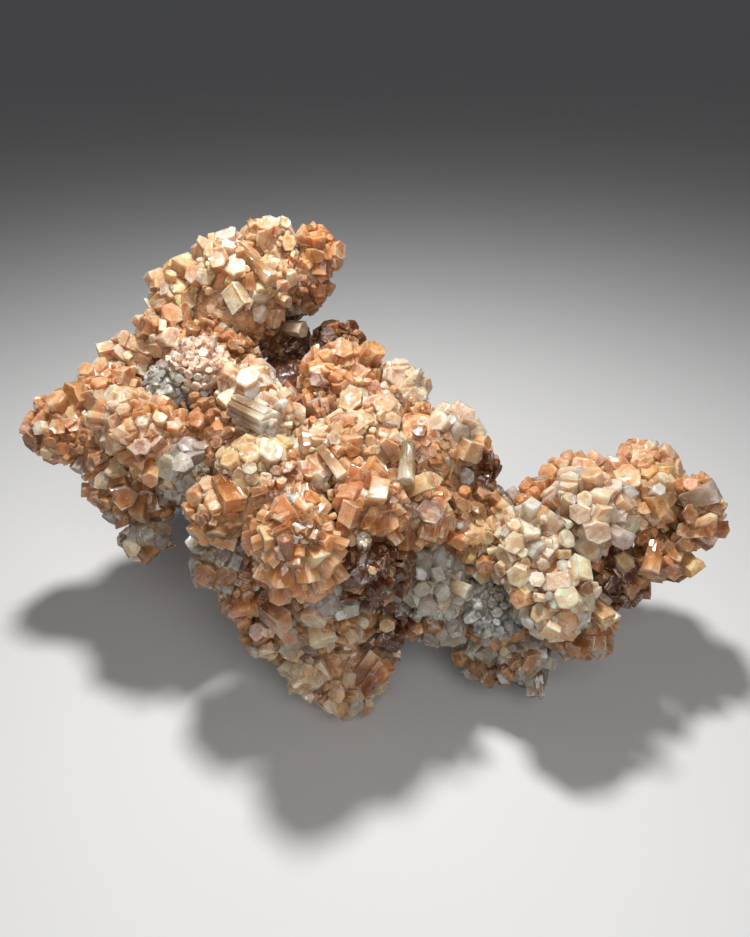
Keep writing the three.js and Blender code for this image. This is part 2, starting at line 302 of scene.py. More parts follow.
# The order of the lines is the order in which the crystals grow.
GROUPS = read_groups(
    """
left_tip LEFT -61.8 5 45.8 8.2 AMBER
left_crown LEFT -54.6 9 52.8 7 ORANGE
left_shoulder LEFT -49.3 16 57.2 5.4 PEACH
left_cheek LEFT -47 -1 51 7 PEACH
left_heart LEFT -41 -7 50 8 ORANGE
left_low LEFT -46.4 -9 41.2 6.4 BROWN
left_root LEFT -35 -9 46 7.5 GREY
left_drop LEFT -45.6 -11 31.2 4.7 GREY
left_hollow LEFT -37 -5 40.5 4.8 BROWN
upper_west HORN -42 32 65 8 YELLOW
upper_mid HORN -32 31 67.6 8.6 PEACH
upper_brow HORN -26 28 66 8 PEACH
upper_peak HORN -23.4 39 73.5 5.9 PEACH
upper_east HORN -13 41 71 6.5 AMBER
upper_back HORN -20 44 60 6.3 UMBER
upper_low HORN -26 30 57 6.3 UMBER
left_matrix LEFT -41 7 54 6 SLATE
ridge_top HORN -43 19 60 7 MIXED
ridge_west HORN -34 8 59 6.5 BRICK
ridge_east HORN -25 2 56 7 CREAM
ridge_end HORN -20 -6 55 6 CREAM
back_top BODY -9 36 50.6 6.1 UMBER
back_mid BODY -6.3 17 48.8 10.4 ORANGE
back_west BODY -17 21 41 6.5 UMBER
back_east BODY 4.6 16 48.6 7.2 CREAM
centre_east BODY 14 -6 50.8 6.7 CREAM
centre_east_low BODY 17 -5 42 7 UMBER
centre_north BODY -1 -6 51 9 PEACH
centre_mid BODY -8 -14 50 9 PEACH
centre_west BODY -20 -17 50 7.5 YELLOW
west_brow BODY -27 -22 46 6.2 AMBER
centre_south BODY -1 -25 48 8.5 AMBER
centre_south_east BODY 7 -21 46 7 ORANGE
flower BODY -12 -30 46 9 ORANGE 300 532
brow_east BODY -2 -29 41 7.5 UMBER
foot_west FOOT -27.7 -22 34.3 6.1 GREY
foot_north_west FOOT -22 -22 29 7.5 BROWN
foot_mid FOOT -18 -24.5 21 7.5 MIXED
foot_upper FOOT -8 -27 31 8.5 MIXED
foot_east FOOT 1 -24 25 7.5 UMBER
foot_toe_west FOOT -12.5 -27 12 6.8 CREAM
foot_toe FOOT -6 -27 8 7.5 PEACH
foot_heel FOOT -0.6 -20 12 6.2 BROWN
right_grey RIGHT 9 -23 32 8 CLEAR
right_grey_low RIGHT 13 -22 21 6.6 GREY
right_matrix RIGHT 22 -21 23 7 SLATE
right_low RIGHT 21.2 -22 12 6.4 GREY
right_hang RIGHT 27.6 -24 12 6.7 GREY
right_west RIGHT 20 -16 34 8 YELLOW
right_mid RIGHT 28 -22 36 8.5 CREAM
right_heart RIGHT 32 -28 33 8 CREAM
right_front_low RIGHT 37 -28 25 7 BROWN
right_crest RIGHT 38 -18 42 8 CREAM
right_back RIGHT 41 0 37.6 6.1 AMBER
right_back_west RIGHT 38.1 0 37.6 5.2 ORANGE
right_back_east RIGHT 54.5 0 39.8 6.7 ORANGE
right_brow RIGHT 50 -10 39 8 ORANGE
right_tip RIGHT 60 -10 36.5 7.3 AMBER
right_tip_low RIGHT 55.3 -16 31 6 BROWN
right_under RIGHT 45 -20 29.8 6.4 UMBER
saddle BODY 23 -4 29.6 5.6 ORANGE
rear_left LEFT -52 14 47 7.5 ORANGE
rear_left_low LEFT -46 8 37 7.5 PEACH
rear_left_under LEFT -54 1 37 6.5 AMBER
rear_neck LEFT -38 10 42 8 ORANGE
rear_neck_under LEFT -33 -2 35 6.5 BROWN
rear_horn_west HORN -38 38 60 7.5 ORANGE
rear_horn HORN -29 43 66 8 PEACH
rear_horn_low HORN -34 33 53 8 ORANGE
rear_horn_root HORN -42 24 51 8 AMBER
rear_horn_east HORN -21 38 50 6.5 UMBER
rear_west BODY -26 20 40 8.5 BROWN
rear_west_low BODY -27 8 33 8 MIXED
rear_mid BODY -12 32 40 8.5 UMBER
rear_east BODY 2 29 41 8 PEACH
rear_far_east BODY 11 12 36 8 ORANGE
rear_east_low BODY 8 20 29 8 CREAM
rear_mid_low BODY -4 30 28 8 MIXED
rear_foot_west FOOT -24 21 24 8 CREAM
rear_foot_east FOOT -6 20 17 8 BROWN
rear_toe_west FOOT -21 18 9 8 PEACH
rear_toe_east FOOT -10 22 8 7.5 CREAM
rear_heel FOOT -14 8 16 8 BROWN
under_mid BODY -4 2 22 8 BROWN
under_west BODY -17 -4 27 8 MIXED
under_east BODY 9 -6 23 8 GREY
under_far_east BODY 17 3 30 7.5 BROWN
rear_right RIGHT 30 -4 27 7 CREAM
rear_right_low RIGHT 33 -7 23 8 MIXED
rear_right_under RIGHT 42 -11 25 6.2 BROWN
rear_right_wing RIGHT 48 1 34 6.5 ORANGE
rear_right_tip RIGHT 57 -4 33 6.5 AMBER
rear_right_drop RIGHT 26 -12 12 7.5 GREY
"""
) | read_groups(
    """
trunk_body BODY -8 -5 38 18 BROWN
trunk_body_back BODY -8 14 36 18 BROWN
trunk_front_foot FOOT -8 -18 22 11 BROWN
trunk_front_toe FOOT -6 -23 12 9 BROWN
trunk_brow BODY -16 -20 46 10 BROWN
trunk_brow_east BODY 9 -6 47 10 BROWN
trunk_back_top BODY -8 31 43 8.5 UMBER
trunk_left_neck LEFT -30 -2 46 11 BROWN
trunk_left_lobe LEFT -46 2 44 11 BROWN
trunk_left_drop_root LEFT -45 -6 38 6.5 BROWN
trunk_left_end LEFT -57 5 46 8 BROWN
trunk_horn_root HORN -36 16 54 11 BROWN
trunk_hollow HORN -21 27 45 8 UMBER
trunk_horn HORN -31 30 62 11 BROWN
trunk_horn_end HORN -19 40 66 9 BROWN
trunk_right_neck RIGHT 14 -10 34 13 BROWN
trunk_right_lobe RIGHT 33 -14 33 11 BROWN
trunk_right_wing RIGHT 49 -7 36 9 BROWN
trunk_right_drop RIGHT 25 -19 16 9 BROWN
trunk_rear_foot FOOT -15 19 15 10 BROWN
""",
    lump=True,
)

# The WHITE crystals named flash or glint, mirror_facet and white_hex are real crystals whose white is a
# painted highlight, where a face glints with the lamp.
SHOWPIECES = read_showpieces(
    """
block_corner upper_west 192 262 7.8 1.1 YELLOW TABULAR
west_stub upper_west 152 283 3 1 ORANGE ANY
west_wedge upper_west 147 306 3.5 1.05 CREAM ANY
west_amber upper_west 162 316 3 0.95 AMBER ANY
pink_bar left_shoulder 99 355 4.5 1 PEACH TABULAR 140 345
shoulder_tip left_shoulder 92 373 3.5 1.3 CREAM ANY
peak_crown upper_peak 269 222 5.5 1 PEACH NOTCHED
peak_west upper_mid 253 250 5.5 1.1 PEACH WORN
peak_long upper_brow 272 281 4 1.1 YELLOW WORN 240 250
brow_cream upper_brow 232 298 6 1.15 CREAM TABULAR
brow_ring upper_mid 225 325 4.5 1.15 ORANGE ANY
brow_flash upper_low 247 314 3.5 1.2 WHITE ANY
brow_stub upper_brow 293 280 3.5 1.1 CREAM ANY 280 268
brow_smoke upper_low 249 337 4.5 1.05 BROWN ANY
brow_grey upper_low 250 357 4.5 1.1 BROWN ANY
cavity_bar upper_low 304 330 4 1.5 CREAM FLAT 272 326
east_end upper_east 341 250 4.5 1.05 ORANGE ANY
east_top upper_east 306 245 4 1 ORANGE ANY
east_glint upper_east 302 258 2.5 1 PEACH ANY
ridge_hex ridge_east 248 376 4.5 1.05 CREAM ANY
ridge_amber ridge_east 271 391 3 1.1 BROWN ANY
back_pink back_mid 315 379 3 1 LILAC ANY
back_point back_top 330 322 4.5 1 AMBER ANY
back_stub back_top 338 347 3.5 0.9 BROWN ANY
left_hex_a left_crown 89 401 4.5 1 PEACH ANY
left_hex_b left_crown 111 412 4 1.05 LILAC ANY
left_hex_c left_shoulder 120 397 4.5 1.6 CLEAR FLAT
left_top left_crown 69 398 6 1.15 ORANGE ANY
tip_a left_tip 58 426 3.5 1 ORANGE ANY
tip_top left_tip 55 397 4.5 1.18 ORANGE ANY
tip_b left_tip 89 430 3 1 AMBER ANY
tip_c left_tip 62 450 3 1.02 AMBER ANY
tip_d left_tip 37 428 3 1.05 CREAM ANY
tip_e left_tip 45 455 2.5 1.05 YELLOW ANY
tip_f left_tip 78 458 3 1.05 BROWN ANY
tip_g left_tip 73 412 3 1.05 ORANGE ANY
tube left_low 113 468 3.5 1.15 YELLOW PITTED
low_amber left_low 124 498 4.5 1.05 AMBER PITTED
heart_flat left_heart 150 481 3.5 1.15 ORANGE FLAT
heart_rose left_heart 140 447 3.5 1.05 LILAC NOTCHED
heart_east left_root 182 423 3.5 1.1 ORANGE ANY
heart_north left_heart 160 415 3 1.05 PEACH ANY
low_west left_low 98 480 3.5 1.1 CREAM ANY
low_west_b left_low 101 507 3 1.1 BROWN ANY
drop_a left_drop 131 549 4 1 CREAM ANY
drop_b left_drop 151 545 3.5 1 GREY ANY
drop_c left_drop 141 562 3.5 1.05 YELLOW ANY
root_green left_root 182 462 4 1.1 CLEAR ANY
hollow_flash left_hollow 187 516 2 1.1 WHITE ANY
foot_wing foot_west 191 540 2.5 1.15 WHITE ANY 202 556
striated_bundle ridge_end 276 426 5 1.4 WHITE FLUTED 244 410
north_flash ridge_end 284 402 2 1.5 WHITE ANY
twin_yellow_a centre_west 249 452 4 1.1 YELLOW WORN
twin_yellow_b centre_west 272 450 4.5 1.15 CREAM WORN
lilac_hex centre_mid 295 471 4 1.05 LILAC FLAT
mirror_facet centre_north 333 440 3.5 1.1 WHITE TABULAR
west_block west_brow 236 506 4.5 1.35 AMBER TABULAR 222 484
ring_hex centre_west 258 502 3 1.25 AMBER PITTED
ring_small flower 270 518 2.5 0.95 BROWN ANY
flower_eye_a flower 299 529 3 1.14 WHITE BROKEN
flower_eye_b flower 305 536 2.4 1.1 CREAM BROKEN
flower_eye_c flower 293 537 2.2 1.1 WHITE BROKEN
flower_eye_d flower 303 521 2.4 1.1 WHITE BROKEN
valley_a centre_mid 284 483 3.2 1 LILAC ANY
valley_b centre_mid 301 487 3 1 BROWN ANY
valley_c flower 289 496 2.4 1.1 SLATE BROKEN
valley_d centre_west 267 482 3.2 1.05 PEACH ANY
valley_e flower 313 494 3 1.1 AMBER ANY
valley_f centre_mid 317 480 2.8 1.02 CREAM ANY
petal_w flower 262 540 3.6 1.04 ORANGE TABULAR 300 532
petal_sw flower 276 560 3.2 1.04 PEACH CHISEL 300 532
petal_s flower 296 568 3.6 1.04 ORANGE TABULAR 300 532
petal_se flower 320 562 3.4 1.04 PEACH TABULAR 300 532
petal_e flower 334 545 3 1.04 ORANGE CHISEL 300 532
petal_ne flower 322 513 3.4 1.04 ORANGE SLANTED 300 532
petal_n flower 303 503 3.2 1.04 PEACH TABULAR 300 532
petal_nw flower 279 511 3.2 1.04 PEACH SLANTED 300 532
orange_cube centre_south 346 514 4 1.1 ORANGE TABULAR
cream_bar centre_mid 345 478 3 1.2 CREAM TABULAR 325 452
orange_hex centre_north 357 452 4 1.05 ORANGE ANY
brow_peach west_brow 211 480 4.5 1 PEACH ANY
brow_tip west_brow 201 511 2.5 1.1 YELLOW ANY
east_peak centre_east 470 414 3.5 1.1 LILAC TABULAR
east_cream centre_east 437 420 4.5 1 CREAM ANY
east_fan centre_east 415 432 3 1.05 CREAM FLUTED
east_cube centre_east 474 453 4.5 1.15 PEACH TABULAR
east_grey centre_east 443 465 3.5 1.05 CLEAR ANY
green_prism centre_south_east 406 482 3 1.25 CLEAR FLAT 408 448
yellow_prism centre_south_east 430 480 3.5 1.35 YELLOW TABULAR 408 492
smoke_hex centre_east_low 446 487 6 1.05 BROWN FLAT
smoke_east centre_east_low 467 477 3.5 1.05 GREY ANY
big_peach centre_south 380 488 4.5 1.15 PEACH ANY
edge_orange centre_east 488 443 3 1.2 ORANGE ANY
hollow_hex centre_south_east 404 512 3 1.1 BROWN PITTED
fluted centre_south_east 431 512 4 1.25 PEACH PITTED
fan_stub brow_east 364 538 2.5 1.1 CREAM FLUTED
dome back_east 415 392 6 1.05 CREAM FLUTED
ridge_cube back_mid 376 347 5 1.15 ORANGE ANY
ridge_east_b back_east 400 362 4 1.1 CREAM ANY
ridge_mid back_mid 358 398 5 1 CREAM ANY
foot_block foot_upper 286 625 4.5 1.15 PEACH TABULAR 268 612
foot_lilac foot_mid 256 632 3.5 1.1 LILAC ANY
tri_green_a foot_upper 341 588 3 1.05 CLEAR ANY
tri_green_b foot_upper 352 612 3.5 1.1 CLEAR ANY
tri_flash foot_upper 341 616 2 1.15 WHITE ANY
foot_pale foot_upper 313 600 3 1.05 CLEAR ANY
foot_tan foot_upper 284 586 3.5 1.05 BROWN ANY
flash_stick foot_north_west 256 587 1.5 1.1 WHITE ANY
foot_blue foot_west 236 562 3 1.1 SLATE ANY
orange_prism_a foot_toe 377 652 3.5 1.7 ORANGE TABULAR 356 678
orange_prism_b foot_toe 388 665 3.5 1.9 AMBER TABULAR 368 688
foot_side foot_mid 250 655 2.5 1.15 GREY ANY
toe_a foot_toe 328 710 3 1.05 CREAM ANY
toe_b foot_toe 358 708 3 1.05 GREY ANY
white_hex right_grey 420 574 2.5 1.1 WHITE ANY
pale_hex right_grey 439 574 3 1.1 CLEAR ANY
core_hex right_grey 422 590 3 1.1 CLEAR ANY
pale_hex_b right_grey 444 595 3 1.1 CLEAR ANY
grey_west right_grey 397 576 3.5 1.05 GREY ANY
grey_prism right_grey 430 612 3.5 1.2 CLEAR ANY
brown_hex_a right_grey_low 429 628 4 1.1 BROWN ANY
brown_hex_b right_grey_low 407 632 4 1.15 BROWN ANY
brown_hex_c foot_east 388 628 3 1.15 YELLOW ANY
amber_hexagon right_west 486 569 3.5 1.15 AMBER PITTED
cream_hex right_mid 517 577 4 1.15 CREAM FLAT
grey_green right_grey 470 594 3 1.35 GREY ANY
yellow_mass right_west 472 533 5 1.05 YELLOW ANY
orange_gap right_west 498 555 3 1.05 ORANGE ANY
cream_block right_west 511 531 5 1.2 CREAM ANY
blade_flash right_mid 533 503 3.5 1.35 WHITE TABULAR 525 527
hang_tan_a right_low 476 676 4 1.1 BROWN ANY
hang_tan_b right_low 456 660 3.5 1.1 BROWN ANY
hang_clear right_hang 535 697 4 1.2 GREY TABULAR 533 660
white_tower right_crest 602 492 4 1.1 CREAM TABULAR 596 520
cream_gem right_crest 598 533 4.5 1.3 CREAM FLAT
cream_crowd right_mid 563 514 5.5 1.15 CREAM ANY
cream_hex_low right_heart 585 567 4.5 1.15 CREAM ANY
white_round right_crest 629 543 4 1.6 CLEAR ANY
core_tan right_under 625 561 3.5 1.3 YELLOW PITTED
amber_drop right_under 648 575 3.5 1.3 ORANGE PITTED 655 548
clear_prism right_tip 716 491 4.5 1.35 CLEAR TABULAR 688 500
rod_glint right_tip 717 516 2 1.35 YELLOW ANY 695 525
core_brown right_tip_low 687 544 3 1.1 BROWN PITTED
core_amber right_tip_low 673 573 3 1.15 AMBER PITTED
tan_prism right_tip_low 700 572 4 1.25 YELLOW ANY 682 560
glint_block_a right_brow 660 489 2.5 1.2 WHITE ANY
glint_block_b right_brow 665 477 2.5 1.25 CREAM ANY
orange_crest right_back_east 642 460 5 1.05 ORANGE WORN
peach_crest right_back_east 670 450 3.5 1.1 PEACH WORN
orange_crest_b right_back_east 681 470 4.5 1.1 ORANGE WORN
orange_crest_c right_back_east 622 452 3.5 1.05 ORANGE ANY
back_orange_a right_back_west 546 472 4.5 1.05 ORANGE WORN
back_pale right_back_west 562 460 3 1.1 PEACH ANY
back_orange_b right_back 585 468 5.5 1.05 ORANGE WORN
back_white right_back 611 466 2.5 1.1 CREAM ANY
back_orange_c right_back 600 455 4 1.05 ORANGE ANY
red_hex right_heart 588 589 2.5 1.1 BROWN ANY
violet_hex right_front_low 606 597 3 1.1 LILAC ANY
striped_prism right_front_low 613 625 4 1.3 YELLOW FLUTED 595 608
amber_prism right_heart 549 634 3.5 1.2 YELLOW TABULAR 556 615
cream_cluster right_heart 567 597 4.5 1.1 CREAM ANY
orange_slab right_heart 517 598 4 1.15 ORANGE ANY
grey_small right_front_low 582 623 2.5 1.1 GREY ANY
side_prism right_front_low 600 643 3.5 1.25 BROWN TABULAR 582 640
hang_small right_hang 555 664 2.5 1.25 CLEAR ANY
smoke_right right_under 636 595 3.5 1.15 BROWN ANY
brow_orange right_brow 662 505 4.5 1.1 ORANGE TABULAR
"""
)

# Crystals that the cluster stands on: lobe, tone, where they meet the table, and how high they start.
STANDING: tuple[tuple[Lobe, Tone, tuple[float, float], float], ...] = (
    (Lobe.FOOT, Tone.CREAM, (-6, -27), 9),
    (Lobe.FOOT, Tone.CREAM, (-11, -24), 9),
    (Lobe.RIGHT, Tone.GREY, (33, -21.5), 13),
    (Lobe.FOOT, Tone.CREAM, (-20, 19), 9),
    (Lobe.FOOT, Tone.CREAM, (-10, 22), 9),
)


def clear_selection() -> None:
    """Leaves nothing selected and nothing active."""
    bpy.context.view_layer.update()
    for item in bpy.context.selected_objects:
        item.select_set(False)
    bpy.context.view_layer.objects.active = None


def unit(vector: Vec) -> Vec:
    """The vector at length 1."""
    return vector / np.linalg.norm(vector)


def to_scene(point: Point | Vec) -> Vec:
    """A point of the lists in the scene's frame and metres."""
    return (np.array(point) - FOOTPRINT_MIDDLE) * MM


# ---- The eye -----------------------------------------------------------------------------------------------


@dataclass(frozen=True)
class Eye:
    """Where the cluster is seen from, in the frame of the lists.

    Attributes:
        place: Place of the lens.
        pitch: Angle that it looks down by, in degrees.
        focal: Focal length in pixels.
        middle: Pixel on the lens axis.
        sensor: Longer side of the sensor in millimetres.
        long_side: Longer side of the picture in pixels.
    """

    place: Point = (0.0, -121.3, 121.2)
    pitch: float = 33.8
    focal: float = 720.0
    middle: Pixel = (375.0, 468.5)
    sensor: float = 36.0
    long_side: float = 937.0

    @property
    def tilt(self) -> tuple[float, float]:
        """Cosine and sine of the pitch."""
        return math.cos(math.radians(self.pitch)), math.sin(math.radians(self.pitch))

    def slope(self, pixel: Pixel) -> Vec:
        """Step from the lens for one millimetre forward.

        Args:
            pixel: Place in the picture.

        Returns:
            The step in millimetres.
        """
        right = (pixel[0] - self.middle[0]) / self.focal
        down = (pixel[1] - self.middle[1]) / self.focal
        cosine, sine = self.tilt
        return np.array((right, cosine - down * sine, -sine - down * cosine))

    def at(self, pixel: Pixel, forward: float) -> Vec:
        """Point that shows at a pixel, a distance forward of the lens."""
        return np.array(self.place) + forward * self.slope(pixel)

    def forward(self, point: Vec) -> float:
        """Measures how far a point lies forward of the lens.

        Args:
            point: The point.

        Returns:
            The distance in millimetres.
        """
        cosine, sine = self.tilt
        step = point - np.array(self.place)
        return float(step[1] * cosine - step[2] * sine)

    def on_ball(self, pixel: Pixel, centre: Vec, radius: float) -> Vec:
        """Point of a ball that shows at a pixel.

        Args:
            pixel: Place in the picture.
            centre: Middle of the ball.
            radius: Its radius.

        Returns:
            The near point, or the nearest that the line of sight passes where it misses the ball.
        """
        sight = unit(self.slope(pixel))
        offset = np.array(self.place) - centre
        along = float(sight @ offset)
        room = along * along - float(offset @ offset) + radius * radius
        travel = -along - math.sqrt(room) if room > 0 else -along
        return np.array(self.place) + travel * sight

    def make(self) -> None:
        """Makes the scene's camera."""
        data = bpy.data.cameras.new("eye")
        data.sensor_width = self.sensor
        data.lens = self.focal * self.sensor / self.long_side
        data.clip_start = 0.01
        camera = bpy.data.objects.new("eye", data)
        bpy.context.scene.collection.objects.link(camera)
        camera.location = Vector(to_scene(self.place))
        camera.rotation_euler = (math.radians(90.0 - self.pitch), 0.0, 0.0)
        bpy.context.scene.camera = camera


# ---- Single crystals ---------------------------------------------------------------------------------------


@dataclass
class Form:
    """Mesh of one habit at unit width, its end at height 0 and its foot far below.

    Attributes:
        points: Vertex places, one row each.
        faces: Vertex numbers of each face.
        foot: Which vertices belong to the foot.
    """

    points: Vec
    faces: list[tuple[int, ...]]
    foot: Vec


@dataclass
class CrystalBench:
    """Models each habit once, from a primitive, at a width of about 1.

    Attributes:
        rod: Length of the crystal as it is modelled.
        foot_share: Width of the foot against that of the end.
        foot_band: Height of the band that counts as the foot.
        edge: Width of the small bevel on the edges of an end.
        rim: Width of the flat band around a sunken end.
        seam: How far in the seams of a twin lie, as a share of its radius.
        step: Height of the upper level of a stepped end.
        round_off: Width of a worn edge.
        weld: Least distance between two vertices.
    """

    rod: float = 3.0
    foot_share: float = 0.78
    foot_band: float = 0.4
    edge: float = 0.035
    rim: float = 0.06
    seam: float = 0.83
    step: float = 0.16
    round_off: float = 0.07
    weld: float = 0.002

    def start(self, sides: int = 6, radius: float = 0.5) -> None:
        """Adds a prism with its end at height 0, narrowed to the foot, in edit mode.

        Args:
            sides: How many sides it has.
            radius: Its radius at the end.
        """
        clear_selection()
        bpy.ops.mesh.primitive_cylinder_add(
            vertices=sides,
            radius=radius,
            depth=self.rod,
            end_fill_type="NGON",
            location=(0, 0, -self.rod / 2),
        )
        bpy.ops.object.transform_apply(location=True, rotation=False, scale=False)
        bpy.ops.object.mode_set(mode="EDIT")
        self.pick_faces(lambda centre, normal: centre.z < -self.rod + 0.01)
        self.scale(self.foot_share, self.foot_share, -self.rod)

    def scale(self, across: float, over: float, height: float = 0.0) -> None:
        """Scales the selection sideways, from a point of the axis at a height."""
        bpy.ops.transform.resize(value=(across, over, 1.0), center_override=(0.0, 0.0, height))

    def pick_faces(self, test: Callable[[Vector, Vector], bool]) -> None:
        """Selects faces.

        Args:
            test: Whether a face is selected, by its middle and its normal.
        """
        mesh = self.clear("FACE")
        for face in mesh.polygons:
            face.select = test(face.center, face.normal)
        bpy.ops.object.mode_set(mode="EDIT")

    def pick_edges(self, test: Callable[[Vector, Vector], bool]) -> None:
        """Selects edges.

        Args:
            test: Whether an edge is selected, by the places of its two ends.
        """
        mesh = self.clear("EDGE")
        for edge in mesh.edges:
            edge.select = test(*(mesh.vertices[number].co for number in edge.vertices))
        bpy.ops.object.mode_set(mode="EDIT")

    def clear(self, kind: str) -> bpy.types.Mesh:
        """Deselects everything and leaves edit mode.

        Args:
            kind: What is selected next: VERT, EDGE or FACE.

        Returns:
            The mesh on the bench.
        """
        bpy.ops.mesh.select_mode(type=kind)
        bpy.ops.mesh.select_all(action="DESELECT")
        bpy.ops.object.mode_set(mode="OBJECT")
        return bpy.context.object.data

    def ease_end(self, width: float, segments: int = 1) -> None:
        """Bevels the edges round the end."""
        self.pick_edges(lambda first, second: min(first.z, second.z) > -0.6)
        self.bevel(width, segments)

    def bevel(self, width: float, segments: int = 1) -> None:
        """Bevels the selected edges."""
        bpy.ops.mesh.bevel(offset=width, offset_type="OFFSET", segments=segments, affect="EDGES")

    def sink(self, *levels: tuple[float, float], below: float = 0.5) -> None:
        """Insets the end and sinks it inside.

        Args:
            *levels: Width and depth of each inset, outer one first.
            below: How far under height 0 a face may lie that is part of the end.
        """
        self.pick_faces(lambda centre, normal: centre.z > -below and normal.z > 0.5)
        for width, depth in levels:
            bpy.ops.mesh.inset(thickness=width, depth=-depth)

    def cut(self, depth: float, normal: Point) -> None:
        """Cuts the end off along a plane and closes it."""
        bpy.ops.mesh.select_all(action="SELECT")
        bpy.ops.mesh.bisect(plane_co=(0.0, 0.0, -depth), plane_no=normal, use_fill=True, clear_outer=True)

    def flat(self) -> None:
        """A plain end, very slightly sunk inside its rim."""
        self.start()
        self.ease_end(self.edge)
        self.sink((self.rim, 0.012))

    def pitted(self) -> None:
        """An end that sinks to a small flat floor."""
        self.start()
        self.ease_end(self.edge)
        self.sink((self.rim, 0.01), (0.14, 0.06))

    def notched(self) -> None:
        """A false hexagon of twins, with a seam down the middle of each side."""
        self.start(sides=12)
        mesh = self.clear("EDGE")
        for vertex in mesh.vertices:
            corner = round(math.atan2(vertex.co.x, vertex.co.y) / math.radians(30.0))
            vertex.select = corner % 2 == 1
        bpy.ops.object.mode_set(mode="EDIT")
        bpy.ops.mesh.select_mode(type="VERT")
        self.scale(self.seam, self.seam)
        self.sink((self.rim, 0.02), (0.12, 0.05))

    def stepped(self) -> None:
        """An end in two levels."""
        self.start()
        bpy.ops.mesh.select_all(action="SELECT")
        bpy.ops.mesh.bisect(plane_co=(0.07, 0.0, 0.0), plane_no=(0.94, 0.34, 0.0))
        self.pick_faces(lambda centre, normal: centre.z > -0.1 and normal.z > 0.5 and centre.x < 0.06)
        bpy.ops.mesh.extrude_region_move(TRANSFORM_OT_translate={"value": (0.0, 0.0, self.step)})
        bpy.ops.mesh.select_all(action="SELECT")
        bpy.ops.transform.translate(value=(0.0, 0.0, -self.step))
        self.sink((0.05, 0.012), below=0.05)

    def slanted(self) -> None:
        """An end cut at a slant."""
        self.start()
        self.cut(0.14, (0.0, 0.29, 0.96))
        self.ease_end(self.edge)
        self.sink((0.05, 0.008))

    def chisel(self) -> None:
        """An end that two slopes narrow to a ridge."""
        self.start()
        for side in (0.52, -0.52):
            self.cut(0.02, (0.0, side, 0.85))
        self.ease_end(0.02)

    def broken(self) -> None:
        """An end that broke off in three slopes."""
        self.start()
        self.cut(0.06, (0.34, 0.12, 0.93))
        self.cut(0.02, (-0.42, 0.26, 0.87))
        self.cut(0.12, (0.08, -0.52, 0.85))
        self.ease_end(0.015)

    def tabular(self) -> None:
        """A four-sided block with a sharp end."""
        self.start(sides=4, radius=0.6)
        bpy.ops.mesh.select_all(action="SELECT")
        bpy.ops.transform.rotate(value=math.radians(45.0), orient_axis="Z", center_override=(0.0, 0.0, 0.0))
        self.scale(1.0, 0.78)
        self.ease_end(0.03)
        self.sink((self.rim, 0.01))

    def worn(self) -> None:
        """Edges and rim rounded off."""
        self.start()
        self.pick_edges(lambda first, second: abs(first.z - second.z) > 1.0)
        self.bevel(self.round_off)
        self.ease_end(self.round_off, segments=2)

    def grain(self) -> None:
        """A small plain prism with a raised end."""
        self.start()
        self.sink((0.07, -0.05))

    def lump(self) -> None:
        """An earthy lump."""
        clear_selection()
        bpy.ops.mesh.primitive_ico_sphere_add(subdivisions=2, radius=0.5, location=(0.0, 0.0, -0.5))
        bpy.ops.object.transform_apply(location=True, rotation=False, scale=False)
        bpy.ops.object.mode_set(mode="EDIT")
        bpy.ops.mesh.select_all(action="SELECT")
        bpy.ops.transform.vertex_random(offset=0.07, uniform=0.5, seed=3)

    def finish(self) -> Form:
        """Takes the shape off the bench.

        Returns:
            The shape, closed and with its faces outward.
        """
        bpy.ops.mesh.select_all(action="SELECT")
        bpy.ops.mesh.remove_doubles(threshold=self.weld)
        bpy.ops.mesh.normals_make_consistent(inside=False)
        bpy.ops.object.mode_set(mode="OBJECT")
        shape = bpy.context.object
        mesh = shape.data
        points = read(mesh.vertices, "co", 3)
        faces = [tuple(face.vertices) for face in mesh.polygons]
        bpy.data.objects.remove(shape)
        bpy.data.meshes.remove(mesh)
        return Form(points, faces, points[:, 2] < -self.rod + self.foot_band)

    def all_forms(self) -> dict[Habit, Form]:
        """Models every habit but the bundle, which is made of stepped rods.

        Returns:
            The shapes by habit.
        """
        forms = {}
        for habit in Habit:
            if habit is not Habit.FLUTED:
                getattr(self, habit.name.lower())()
                forms[habit] = self.finish()
                log.info("%s: %d faces", habit.value, len(forms[habit].faces))
        return forms


def read(rows: bpy.types.bpy_prop_collection, name: str, size: int = 1) -> Vec:
    """Reads one property of all the rows of a mesh.

    Args:
        rows: The mesh's vertices, faces or corners.
        name: The property.
        size: How many numbers a row has.

    Returns:
        The whole numbers, or the places with a row each.
    """
    values = np.empty(len(rows) * size, dtype=np.int32 if size == 1 else float)
    rows.foreach_get(name, values)
    return values if size == 1 else values.reshape(-1, size)


@dataclass
class Crystal:
    """A placed crystal.

    Attributes:
        lobe: Sub-assembly that it belongs to.
        group: Name of the spray or lump that carries it.
        habit: Its shape.
        tone: Its colour family.
        end: Middle of its end.
        axis: Unit vector from its foot to its end.
        width: Its width.
        length: Its length.
        flat: Its thickness against its width.
    """

    lobe: Lobe
    group: str
    habit: Habit
    tone: Tone
    end: Vec
    axis: Vec
    width: float
    length: float
    flat: float = 1.0


# ---- Growth ------------------------------------------------------------------------------------------------


@dataclass(frozen=True)
class SizeClass:
    """Crystals of about one width.

    Attributes:
        widths: Least and greatest width.
        stands: Least and greatest distance of an end from the centre, as a share of the reach.
        tries: How many directions are tried in each spray.
        apart: Least distance between two ends, as a share of their two widths together.
        habits: Whether they have the full range of habits.
    """

    widths: tuple[float, float]
    stands: tuple[float, float]
    tries: int
    apart: float
    habits: bool = True


